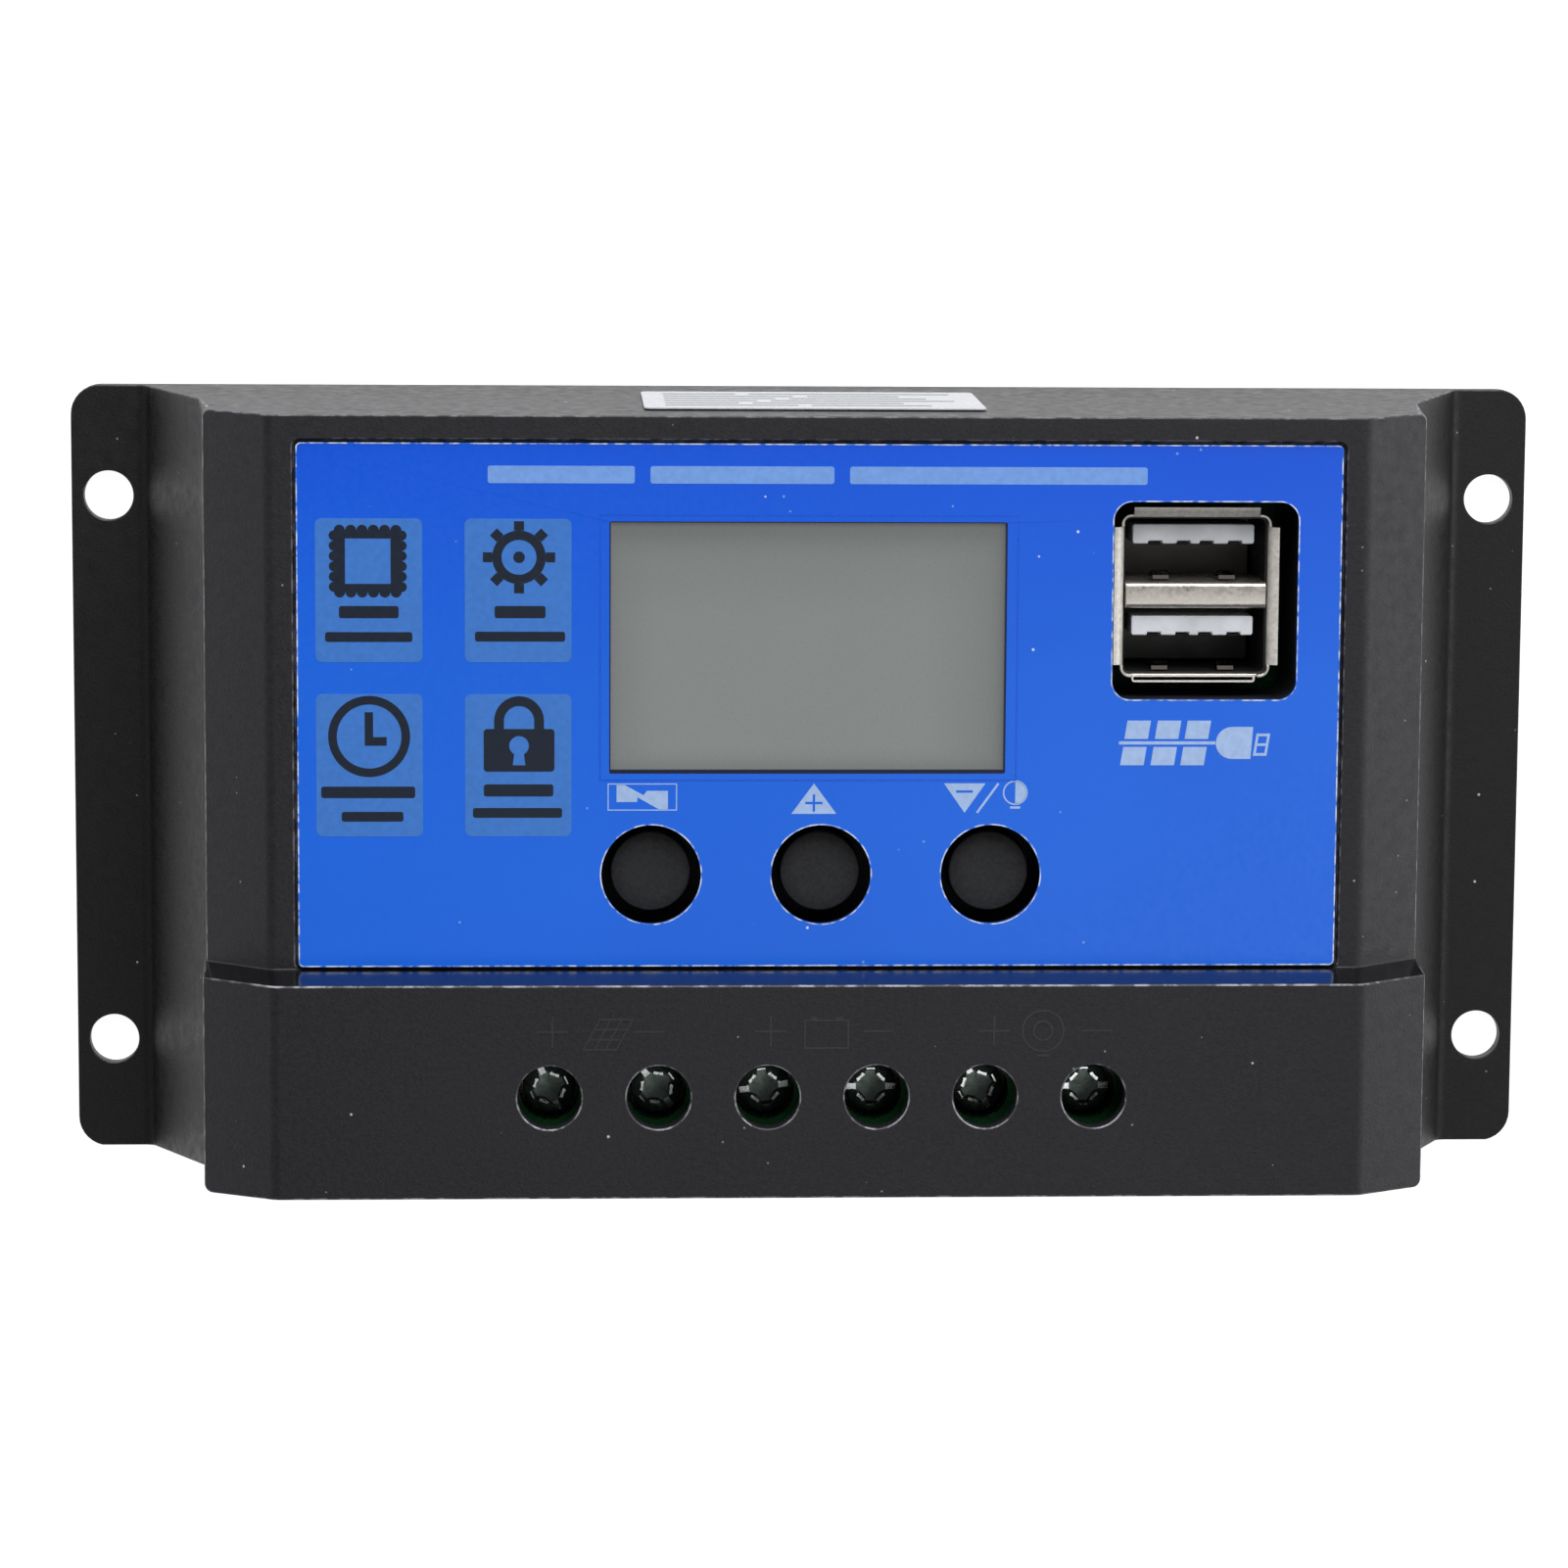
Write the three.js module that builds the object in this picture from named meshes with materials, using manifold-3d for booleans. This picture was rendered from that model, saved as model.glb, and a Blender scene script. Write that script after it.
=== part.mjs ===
// Solar charge controller, lying on its back: X along the case, Y towards the end with
// the rating sticker, Z out of the front face. Millimetres. The origin is the middle of
// the footprint, on the plane of the mounting flanges' undersides.
import * as THREE from 'three';
import { mergeVertices } from 'three/addons/utils/BufferGeometryUtils.js';
import Module from 'manifold-3d';

const wasm = await Module();
wasm.setup();

// ---- driving dimensions --------------------------------------------------------------

const GAP = 0.3; // left between pieces that touch on the real object
const SKIN_GAP = 0.1; // under the thin overlay and the sticker
const RECESS_GAP = 0.5; // how far a pocket is wider than the piece that turns or slides in it

const caseSize = { x: 133.5, y: 70.4, z: 35 };
const wall = 2;
const flange = { thickness: 1.5, cornerRadius: 2.75, footX: 60 };
const flangeHole = { x: 63.4, y: 25.1, radius: 2.25 };
const flare = { topX: 54.15, topZ: 15 };
const facetX = 53.25; // outer edge of the sloping facets along both long sides
const displayLevel = { z: 30, flatX: 47.4, facetZ: 25 };
const terminalLevel = { z: caseSize.z, flatX: 46.9, facetZ: 30 };
const step = { baseY: -14.05, topY: -14.7 };
const draft = { top: 0.043, bottom: 0.054 }; // how far the end walls lean in, per mm of height

const overlay = { x: 0.1, y: 8.85, width: 90.4, height: 45.6, recess: 0.6, thickness: 0.3 };
const displayWindow = { x: -1, y: 13.93, width: 36.3, height: 23.8 };
const usb = { x: 32.9, y: 18.27, width: 13.2, height: 14.3, mouthZ: 27.2 };
const usbCutout = { x: 33.44, y: 18.05, width: 16.4, height: 17.3, radius: 1.6 };
const button = { x: 0.23, y: -5.8, pitch: 14.75, holeRadius: 4.45, travel: 0.35 };
const cap = { radius: 3.5, height: 4.6, topZ: 27.6, edge: 0.3 };
const sticker = { x: -0.2, z: 17, width: 29.8, height: 16, thickness: 0.15 };

const terminal = { x: 0.17, pitch: 9.4, accessY: -24.47, accessRadius: 2.75, axisY: -25 };
const clampTravel = 2.1; // three turns of an M4 screw, 0.7 mm each
const slotAngles = [-66, -52, 8, 0, -63, 1]; // degrees, how each terminal screw was left

const board = { x: 45, bottomY: -32, topY: 31.8, z: 11.4, thickness: 1.6 };
const boardTop = board.z + board.thickness;
const seatZ = boardTop + GAP; // where parts on the board start
const post = { x: 41.5, y: 29.4, radius: 2.3, pilotTop: 22 };
const boss = { x: 48.5, y: 29.2, radius: 3.2, pilotTop: 14 };
const backPlate = { halfX: 57.2, halfY: 32.8, z: 0.4, thickness: 1.5 };
const plateTop = backPlate.z + backPlate.thickness;
const screwShankRadius = 1.2;
const pilotRadius = screwShankRadius + GAP;

const corners = [[1, 1], [1, -1], [-1, 1], [-1, -1]];

const terminalX = (index) => terminal.x + terminal.pitch * (index - 2.5);
const buttonX = (index) => button.x + button.pitch * (index - 1);
const topEndY = (z) => caseSize.y / 2 - draft.top * z;
const bottomEndY = (z) => -caseSize.y / 2 + draft.bottom * z;

// ---- materials -----------------------------------------------------------------------

const finish = (color, roughness, metalness) =>
  new THREE.MeshStandardMaterial({ color, roughness, metalness });

const blackPlastic = finish(0x333337, 0.55, 0);
const buttonPlastic = finish(0x2c2d31, 0.6, 0);
const overlayFilm = finish(0x2563d4, 0.35, 0);
const stickerPaper = finish(0xcdcfd3, 0.6, 0);
const displayGlass = finish(0x868b8a, 0.25, 0);
const milkyPlastic = finish(0xdfe2e0, 0.5, 0);
const terminalPlastic = finish(0x1e6b3a, 0.45, 0);
const screwSteel = finish(0x9a9da0, 0.3, 1);
const tinnedBrass = finish(0xb9b4a6, 0.35, 1);
const usbMetal = finish(0xc9c6c0, 0.3, 1);
const whiteResin = finish(0xd8dadf, 0.5, 0);
const boardLaminate = finish(0x17603a, 0.5, 0);
const plateAluminium = finish(0xa9abae, 0.4, 1);
const chipResin = finish(0x1b1b1d, 0.6, 0);
const siliconePad = finish(0x8f959c, 0.8, 0);
const canSleeve = finish(0x20242c, 0.4, 0);

// ---- shape helpers -------------------------------------------------------------------

function solid(geometry) {
  const bare = geometry.clone();
  bare.deleteAttribute('normal');
  bare.deleteAttribute('uv');
  const merged = mergeVertices(bare, 1e-4);
  const mesh = new wasm.Mesh({
    numProp: 3,
    vertProperties: new Float32Array(merged.attributes.position.array),
    triVerts: new Uint32Array(merged.index.array),
  });
  return new wasm.Manifold(mesh);
}

function geometryOf(manifold) {
  const mesh = manifold.getMesh();
  const geometry = new THREE.BufferGeometry();
  geometry.setAttribute('position', new THREE.BufferAttribute(mesh.vertProperties, 3));
  geometry.setIndex(new THREE.BufferAttribute(mesh.triVerts, 1));
  geometry.computeVertexNormals();
  return geometry;
}

const join = (pieces) => pieces.reduce((whole, piece) => whole.add(piece));
const cut = (body, tools) => tools.reduce((rest, tool) => rest.subtract(tool), body);

// A box from its ranges along X, Y and Z.
function block([x0, x1], [y0, y1], [z0, z1]) {
  const geometry = new THREE.BoxGeometry(x1 - x0, y1 - y0, z1 - z0);
  geometry.translate((x0 + x1) / 2, (y0 + y1) / 2, (z0 + z1) / 2);
  return solid(geometry);
}

// A box from its middle in plan and its plan size.
const tile = (x, y, width, height, zRange) =>
  block([x - width / 2, x + width / 2], [y - height / 2, y + height / 2], zRange);

// An upright cylinder.
function rod(x, y, [z0, z1], radius, sides = 20) {
  const geometry = new THREE.CylinderGeometry(radius, radius, z1 - z0, sides);
  geometry.rotateX(Math.PI / 2);
  geometry.translate(x, y, (z0 + z1) / 2);
  return solid(geometry);
}

// A turned piece: outline points are [radius, z], from the axis back to the axis.
function turned(x, y, outline, sides = 18) {
  const points = outline.map(([radius, z]) => new THREE.Vector2(radius, z));
  const geometry = new THREE.LatheGeometry(points, sides);
  geometry.rotateX(Math.PI / 2);
  geometry.translate(x, y, 0);
  return solid(geometry);
}

// A rectangle in plan with round corners, as an upright prism.
function roundedPrism(x, y, width, height, radius, [z0, z1], cornerSteps = 4) {
  const right = width / 2 - radius;
  const top = height / 2 - radius;
  const outline = new THREE.Shape();
  outline.absarc(right, top, radius, 0, Math.PI / 2);
  outline.absarc(-right, top, radius, Math.PI / 2, Math.PI);
  outline.absarc(-right, -top, radius, Math.PI, 1.5 * Math.PI);
  outline.absarc(right, -top, radius, 1.5 * Math.PI, 2 * Math.PI);
  const options = { depth: z1 - z0, bevelEnabled: false, curveSegments: cornerSteps };
  const geometry = new THREE.ExtrudeGeometry(outline, options);
  geometry.translate(x, y, z0);
  return solid(geometry);
}

// A closed skin over rings of the same number of points, each ring a section across Y.
function loft(rings) {
  const count = rings[0].length;
  const index = [];
  for (let ring = 0; ring < rings.length - 1; ring++) {
    for (let point = 0; point < count; point++) {
      const a = ring * count + point;
      const b = ring * count + ((point + 1) % count);
      index.push(a, a + count, b, b, a + count, b + count);
    }
  }
  const flat = (ring) => ring.map(([x, , z]) => new THREE.Vector2(x, z));
  const capOf = (ring) => THREE.ShapeUtils.triangulateShape(flat(ring), []);
  const last = (rings.length - 1) * count;
  for (const [a, b, c] of capOf(rings[0])) index.push(a, b, c);
  for (const [a, b, c] of capOf(rings.at(-1))) index.push(last + a, last + c, last + b);
  const geometry = new THREE.BufferGeometry();
  geometry.setAttribute('position', new THREE.Float32BufferAttribute(rings.flat(2), 3));
  geometry.setIndex(index);
  return solid(geometry);
}

// The other half of a section, mirrored in X, walked back to the start.
const withMirror = (half) => [...half, ...half.map(([x, z]) => [-x, z]).reverse()];
const ringAt = (section, yOf) => section.map(([x, z]) => [x, yOf(z), z]);

// ---- front cover ---------------------------------------------------------------------

// Section of the cover: flange, flared side, drafted side wall, facet, flat.
const coverSection = (level) => withMirror([
  [caseSize.x / 2, 0],
  [caseSize.x / 2, flange.thickness],
  [flange.footX, flange.thickness],
  [flare.topX, flare.topZ],
  [facetX, level.facetZ],
  [level.flatX, level.z],
]);

// Section of the hollow inside, one wall thickness in, and open at the back.
function hollowSection(level) {
  const slope = (flange.footX - flare.topX) / (flare.topZ - flange.thickness);
  const mouthX = flange.footX + slope * flange.thickness - wall * Math.hypot(1, slope);
  const below = -1;
  return withMirror([
    [mouthX, below],
    [mouthX, 0],
    [flare.topX - wall, flare.topZ],
    [facetX - wall, level.facetZ - wall * 0.4],
    [level.flatX - wall * 0.45, level.z - wall],
  ]);
}

function frontCover() {
  const upper = coverSection(displayLevel);
  const lower = coverSection(terminalLevel);
  const plan = roundedPrism(0, 0, caseSize.x, caseSize.y, flange.cornerRadius, [-1, caseSize.z + 1], 5);
  const outside = loft([
    ringAt(lower, bottomEndY),
    ringAt(lower, () => step.topY),
    ringAt(upper, () => step.baseY),
    ringAt(upper, topEndY),
  ]).intersect(plan);
  const hollow = loft([
    ringAt(hollowSection(terminalLevel), (z) => bottomEndY(z) + wall),
    ringAt(hollowSection(terminalLevel), () => step.topY - wall),
    ringAt(hollowSection(displayLevel), () => step.baseY - wall),
    ringAt(hollowSection(displayLevel), (z) => topEndY(z) - wall),
  ]);
  const pillars = [];
  const pilots = [];
  for (const sideX of [-1, 1]) {
    for (const [sideY, level] of [[-1, terminalLevel], [1, displayLevel]]) {
      const roof = level.z - wall / 2;
      const bossAt = [sideX * boss.x, sideY * boss.y];
      const postAt = [sideX * post.x, sideY * post.y];
      pillars.push(rod(...bossAt, [plateTop + GAP, roof], boss.radius, 16));
      pillars.push(rod(...postAt, [seatZ, roof], post.radius, 12));
      pilots.push(rod(...bossAt, [0, boss.pilotTop], pilotRadius, 10));
      pilots.push(rod(...postAt, [seatZ - 1, post.pilotTop], pilotRadius, 10));
    }
  }
  const body = join([cut(outside, [hollow]), join(pillars).intersect(outside)]);
  return cut(body, [...pilots, ...coverOpenings()]);
}

function usbHole(zRange) {
  const { x, y, width, height, radius } = usbCutout;
  return roundedPrism(x, y, width, height, radius, zRange);
}

function coverOpenings() {
  const recessFloor = displayLevel.z - overlay.recess;
  const throughRoof = [displayLevel.z - 2 * wall, displayLevel.z + 1];
  const recessRange = [recessFloor, displayLevel.z + 1];
  const recess = tile(overlay.x, overlay.y, overlay.width, overlay.height, recessRange);
  const { x, y, width, height } = displayWindow;
  const openings = [recess, tile(x, y, width, height, throughRoof), usbHole(throughRoof)];
  for (let index = 0; index < 3; index++) {
    openings.push(rod(buttonX(index), button.y, throughRoof, button.holeRadius, 24));
  }
  for (let index = 0; index < 6; index++) {
    const roof = [terminalLevel.z - 2 * wall, terminalLevel.z + 1];
    openings.push(rod(terminalX(index), terminal.accessY, roof, terminal.accessRadius));
    openings.push(tile(terminalX(index), -caseSize.y / 2, wireEntry.width, 4 * wall, wireEntry.zRange));
  }
  for (const [sideX, sideY] of corners) {
    openings.push(rod(sideX * flangeHole.x, sideY * flangeHole.y, [-1, 3], flangeHole.radius));
  }
  return openings;
}

// ---- overlay, sticker and display ----------------------------------------------------

function labelOverlay() {
  const floor = displayLevel.z - overlay.recess + SKIN_GAP;
  const zRange = [floor, floor + overlay.thickness];
  const inset = 2 * SKIN_GAP;
  const sheet = tile(overlay.x, overlay.y, overlay.width - inset, overlay.height - inset, zRange);
  const through = [floor - 1, floor + 1];
  const holes = [usbHole(through)];
  for (let index = 0; index < 3; index++) {
    holes.push(rod(buttonX(index), button.y, through, button.holeRadius, 24));
  }
  return cut(sheet, holes);
}

// Plain paper on the drafted end wall; its group leans it to the wall.
const ratingSticker = () => block(
  [-sticker.width / 2, sticker.width / 2],
  [SKIN_GAP, SKIN_GAP + sticker.thickness],
  [-sticker.height / 2, sticker.height / 2],
);

const display = { glassTop: displayLevel.z - wall - GAP, glassThickness: 2.2, lightThickness: 3 };
const glassZ = display.glassTop - display.glassThickness;
const lightZ = glassZ - GAP - display.lightThickness;

// A box behind the display window, grown by the given amounts and moved up by shift.
function behindWindow(growWidth, growHeight, shift, zRange) {
  const { x, y, width, height } = displayWindow;
  return tile(x, y + shift, width + growWidth, height + growHeight, zRange);
}

const displayPane = () => behindWindow(3, 4, 0, [glassZ, display.glassTop]);
const displayBacklight = () => behindWindow(2, 1, 1, [lightZ, glassZ - GAP]);

// A hollow frame that carries the display over the board.
function displayHolder() {
  const zRange = [seatZ, lightZ - GAP];
  return cut(behindWindow(0, -1, 1, zRange), [behindWindow(-3, -4, 1, [0, displayLevel.z])]);
}

// The display's lead row: a moulded bar with one lead per contact.
function displayPinRow() {
  const leadCount = 10;
  const leadPitch = 2.54;
  const y = displayWindow.y - displayWindow.height / 2 - 0.8;
  const barZ = lightZ + 0.4;
  const pieces = [tile(displayWindow.x, y, leadCount * leadPitch, 1.8, [barZ, glassZ - GAP])];
  for (let lead = 0; lead < leadCount; lead++) {
    const x = displayWindow.x + leadPitch * (lead - (leadCount - 1) / 2);
    pieces.push(tile(x, y, 0.6, 0.6, [seatZ, barZ + 1]));
  }
  return join(pieces);
}

// ---- buttons -------------------------------------------------------------------------

const switchSize = { side: 6, top: seatZ + 3.5, stemRadius: 1.65, stemDepth: 0.6 };
const capZ = cap.topZ - cap.height;

const buttonCap = (x) => turned(x, button.y, [
  [0, capZ],
  [cap.radius, capZ],
  [cap.radius, cap.topZ - cap.edge],
  [cap.radius - cap.edge, cap.topZ],
  [0, cap.topZ],
], 24);

const switchStem = (x) =>
  rod(x, button.y, [switchSize.top - switchSize.stemDepth, capZ - GAP], switchSize.stemRadius, 14);

function switchBody(x) {
  const body = tile(x, button.y, switchSize.side, switchSize.side, [seatZ, switchSize.top]);
  const socketFloor = switchSize.top - switchSize.stemDepth - button.travel - GAP;
  const socket = rod(x, button.y, [socketFloor, switchSize.top + 1], switchSize.stemRadius + GAP, 14);
  return cut(body, [socket]);
}

// ---- terminals -----------------------------------------------------------------------

// Heights inside one pole of a rising-clamp terminal, from the board up.
const housing = { frontY: -31, backY: -17.8, top: 28.6, floor: 1, frontWall: 1.4, backWall: 1.3 };
const cage = { width: 6.4, length: 7.6, side: 0.8, floor: 1, roof: 1.5, inner: 6.4 };
cage.floorZ = seatZ + housing.floor + GAP;
const cageTop = cage.floorZ + cage.floor + cage.inner + cage.roof;
const barZ = cage.floorZ + cage.floor + 5;
const bar = { width: 3.8, thickness: 1 };
const chamberTop = cageTop + clampTravel + GAP;
const clampShankRadius = 1.75;
const screwHead = { radius: 2.3, bottom: chamberTop + GAP, top: 27.6, edge: 0.9 };
const wireEntry = { width: 7.4, zRange: [cage.floorZ, barZ + bar.thickness + 0.6] };

// Housing of two neighbouring poles.
function terminalHousing(firstPole) {
  const poles = [terminalX(firstPole), terminalX(firstPole + 1)];
  const middle = (poles[0] + poles[1]) / 2;
  const halfWidth = terminal.pitch - GAP;
  const body = block(
    [middle - halfWidth, middle + halfWidth],
    [housing.frontY, housing.backY],
    [seatZ, housing.top],
  );
  const tools = poles.flatMap((x) => {
    const halfChamber = (cage.width + RECESS_GAP) / 2 + 0.05;
    const chamberY = [housing.frontY + housing.frontWall, housing.backY - housing.backWall];
    const halfMouth = 3;
    return [
      block([x - halfChamber, x + halfChamber], chamberY, [seatZ + housing.floor, chamberTop]),
      block([x - halfMouth, x + halfMouth], [housing.frontY - 1, housing.frontY + 2], wireEntry.zRange),
      rod(x, terminal.axisY, [chamberTop - 1, housing.top + 1], screwHead.radius + GAP),
      block([x - bar.width / 2 - GAP, x + bar.width / 2 + GAP], tailYRange(GAP), [0, seatZ + 2]),
    ];
  });
  return cut(body, tools);
}

// The contact's tail stands behind the cage; margin widens it into the slot it needs.
function tailYRange(margin) {
  const back = housing.backY - housing.backWall - GAP;
  return [back - 0.8 - margin, back + margin];
}

// The fixed bar that the wire is pressed against, bent down into the board.
function contactBar(x) {
  const [tailFront, tailBack] = tailYRange(0);
  const xRange = [x - bar.width / 2, x + bar.width / 2];
  const front = housing.frontY + housing.frontWall + GAP;
  return join([
    block(xRange, [front, tailBack], [barZ, barZ + bar.thickness]),
    block(xRange, [tailFront, tailBack], [board.z - 1.2, barZ + bar.thickness]),
  ]);
}

// The cage that the screw draws up under the wire.
function clampCage(x) {
  const { width, length, side, floorZ, floor, inner } = cage;
  const hollowWidth = width - 2 * side;
  const hollow = [floorZ + floor, floorZ + floor + inner];
  return cut(tile(x, terminal.axisY, width, length, [floorZ, cageTop]), [
    tile(x, terminal.axisY, hollowWidth, length + 2, hollow),
    rod(x, terminal.axisY, [hollow[1] - 1, cageTop + 1], clampShankRadius + GAP, 14),
  ]);
}

// Pan-head screw with a slot and a cross in its head.
function terminalScrew(x, slotAngle) {
  const { radius, bottom, top, edge } = screwHead;
  const tip = barZ + bar.thickness + GAP;
  const blank = turned(0, 0, [
    [0, tip],
    [clampShankRadius, tip],
    [clampShankRadius, bottom],
    [radius, bottom],
    [radius, top - edge],
    [radius * 0.9, top - edge * 0.45],
    [radius * 0.62, top - edge * 0.1],
    [0, top],
  ]);
  const slot = { width: 0.75, depth: 0.75 };
  const cross = { width: 0.95, length: 2.9, depth: 1.1 };
  const driven = cut(blank, [
    tile(0, 0, radius * 2 + 1, slot.width, [top - slot.depth, top + 1]),
    tile(0, 0, cross.width, cross.length, [top - cross.depth, top + 1]),
    tile(0, 0, cross.length, cross.width, [top - cross.depth, top + 1]),
  ]);
  return driven.rotate([0, 0, slotAngle]).translate([x, terminal.axisY, 0]);
}

// ---- USB socket ----------------------------------------------------------------------

const usbWall = 0.4;
const usbMouth = { middleBar: 2.3, tongueWidth: 10.8, tongueThickness: 1.75, pitch: 8.05 };
const usbBaseTop = seatZ + 4;

// A folded tin shell around two stacked mouths, with a flared lip on each side.
function usbShell() {
  const { x, y, width, height, mouthZ } = usb;
  const tube = tile(x, y, width, height, [seatZ, mouthZ]);
  const bore = tile(x, y, width - 2 * usbWall, height - 2 * usbWall, [0, 40]);
  const middle = tile(x, y, width - usbWall, usbMouth.middleBar, [usbBaseTop + GAP, mouthZ]);
  const lipOut = 0.6;
  const lipZ = [mouthZ - 0.2, mouthZ + 0.4];
  const lips = [-1, 1].flatMap((side) => [
    tile(x + side * (width / 2 + lipOut / 2 - 0.1), y, lipOut + 0.2, 12, lipZ),
    tile(x, y + side * (height / 2 + lipOut / 2 - 0.15), 11, lipOut, lipZ),
  ]);
  return join([cut(tube, [bore]), middle, ...lips]);
}

// The moulded base inside the shell, with one tongue standing in each mouth.
function usbInsulator() {
  const { x, y, width, height, mouthZ } = usb;
  const inset = 2 * (usbWall + GAP);
  const tongueTop = mouthZ - 1;
  const tongueY = (pole) => y + 1.3 + usbMouth.pitch * (pole - 0.5);
  const tongue = (pole) =>
    tile(x, tongueY(pole), usbMouth.tongueWidth, usbMouth.tongueThickness, [usbBaseTop - 1, tongueTop]);
  return join([
    tile(x, y, width - inset, height - inset, [seatZ + GAP, usbBaseTop]),
    tongue(0),
    tongue(1),
  ]);
}

// ---- circuit board and what it carries -----------------------------------------------

function circuitBoard() {
  const zRange = [board.z, boardTop];
  const sheet = block([-board.x, board.x], [board.bottomY, board.topY], zRange);
  const through = [board.z - 1, boardTop + 1];
  const holes = [];
  for (let index = 0; index < 6; index++) {
    const x = terminalX(index);
    holes.push(block([x - bar.width / 2 - GAP, x + bar.width / 2 + GAP], tailYRange(GAP), through));
  }
  for (const [sideX, sideY] of corners) {
    holes.push(rod(sideX * post.x, sideY * post.y, through, 1.5, 12));
  }
  return cut(sheet, holes);
}

// Pan-head screw that holds the board up to a post, driven from behind.
function boardScrew(x, y) {
  const headTop = board.z - GAP;
  const blank = turned(x, y, [
    [0, headTop - 1.6],
    [1.6, headTop - 1.6],
    [2.2, headTop - 1],
    [2.2, headTop],
    [1, headTop],
    [1, 19],
    [0, 19.8],
  ], 12);
  return cut(blank, [
    tile(x, y, 0.6, 2.4, [headTop - 3, headTop - 0.9]),
    tile(x, y, 2.4, 0.6, [headTop - 3, headTop - 0.9]),
  ]);
}

const thermalPad = { width: 72, y: -6, height: 20, z: plateTop + GAP, thickness: 0.5 };
const padTop = thermalPad.z + thermalPad.thickness;
const thermalSheet = () =>
  tile(0, thermalPad.y, thermalPad.width, thermalPad.height, [thermalPad.z, padTop]);

// Power transistor lying on the thermal pad, its leads turned up to the board.
function mosfet(x) {
  const z = padTop + GAP;
  const bodyY = -14.5;
  const leads = [-1, 0, 1].flatMap((lead) => [
    tile(x + lead * 2.54, bodyY - 1, 0.9, 3, [z + 2, z + 2.6]),
    tile(x + lead * 2.54, bodyY - 2.2, 0.9, 0.6, [z + 2, board.z - GAP]),
  ]);
  return join([
    tile(x, bodyY + 4.6, 10.2, 9.2, [z, z + 4.5]),
    cut(tile(x, bodyY + 12, 10.2, 6.4, [z, z + 1.3]), [rod(x, bodyY + 12.6, [z - 1, z + 2], 1.8, 12)]),
    ...leads,
  ]);
}

const capacitor = (x, y, radius, height) => turned(x, y, [
  [0, seatZ],
  [radius, seatZ],
  [radius, seatZ + 1],
  [radius - 0.4, seatZ + 1.4],
  [radius, seatZ + 1.8],
  [radius, seatZ + height - 0.5],
  [radius - 0.5, seatZ + height],
  [0, seatZ + height],
]);

const drumInductor = (x, y) => turned(x, y, [
  [0, seatZ],
  [5, seatZ],
  [5, seatZ + 1.2],
  [4.2, seatZ + 1.4],
  [4.2, seatZ + 6.6],
  [5, seatZ + 6.8],
  [5, seatZ + 8],
  [0, seatZ + 8],
]);

// ---- back plate ----------------------------------------------------------------------

const headTopRadius = 2.6;
const countersink = (x, y, spread) => turned(x, y, [
  [0, backPlate.z - spread],
  [headTopRadius + spread, backPlate.z - spread],
  [headTopRadius + spread, backPlate.z + 0.2],
  [screwShankRadius + spread, plateTop],
  [screwShankRadius + spread, plateTop + spread],
  [0, plateTop + spread],
]);

function plate() {
  const zRange = [backPlate.z, plateTop];
  const sheet = roundedPrism(0, 0, 2 * backPlate.halfX, 2 * backPlate.halfY, 1.5, zRange, 3);
  const holes = [];
  for (const [sideX, sideY] of corners) {
    holes.push(countersink(sideX * boss.x, sideY * boss.y, GAP));
  }
  return cut(sheet, holes);
}

// Countersunk self-tapping screw, driven from behind into a boss of the cover.
function backScrew(x, y) {
  const blank = turned(x, y, [
    [0, backPlate.z],
    [headTopRadius, backPlate.z],
    [headTopRadius, backPlate.z + 0.2],
    [screwShankRadius, plateTop],
    [screwShankRadius, 11],
    [0, 12.4],
  ], 16);
  return cut(blank, [
    tile(x, y, 0.7, 2.8, [backPlate.z - 1, backPlate.z + 1]),
    tile(x, y, 2.8, 0.7, [backPlate.z - 1, backPlate.z + 1]),
  ]);
}

// ---- assembly ------------------------------------------------------------------------

const controller = new THREE.Group();

function place(name, body, material, parent = controller) {
  const mesh = new THREE.Mesh(geometryOf(body), material);
  mesh.name = name;
  parent.add(mesh);
}

place('front_cover', frontCover(), blackPlastic);
place('label_overlay', labelOverlay(), overlayFilm);

const stickerSeat = new THREE.Group();
stickerSeat.position.set(sticker.x, topEndY(sticker.z), sticker.z);
stickerSeat.rotation.x = Math.atan(draft.top);
controller.add(stickerSeat);
place('rating_sticker', ratingSticker(), stickerPaper, stickerSeat);

place('display_glass', displayPane(), displayGlass);
place('display_backlight', displayBacklight(), milkyPlastic);
place('display_holder', displayHolder(), chipResin);
place('display_pin_row', displayPinRow(), tinnedBrass);

for (let index = 0; index < 3; index++) {
  const x = buttonX(index);
  place(`button_cap_${index + 1}`, buttonCap(x), buttonPlastic);
  place(`switch_stem_${index + 1}`, switchStem(x), buttonPlastic);
  place(`switch_body_${index + 1}`, switchBody(x), chipResin);
  place(`terminal_block_${index + 1}`, terminalHousing(2 * index), terminalPlastic);
}

for (let index = 0; index < 6; index++) {
  const x = terminalX(index);
  place(`terminal_screw_${index + 1}`, terminalScrew(x, slotAngles[index]), screwSteel);
  place(`clamp_cage_${index + 1}`, clampCage(x), tinnedBrass);
  place(`contact_bar_${index + 1}`, contactBar(x), tinnedBrass);
}

place('usb_shell', usbShell(), usbMetal);
place('usb_insulator', usbInsulator(), whiteResin);
place('circuit_board', circuitBoard(), boardLaminate);
place('back_plate', plate(), plateAluminium);

corners.forEach(([sideX, sideY], index) => {
  place(`board_screw_${index + 1}`, boardScrew(sideX * post.x, sideY * post.y), screwSteel);
  place(`back_screw_${index + 1}`, backScrew(sideX * boss.x, sideY * boss.y), screwSteel);
});

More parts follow.
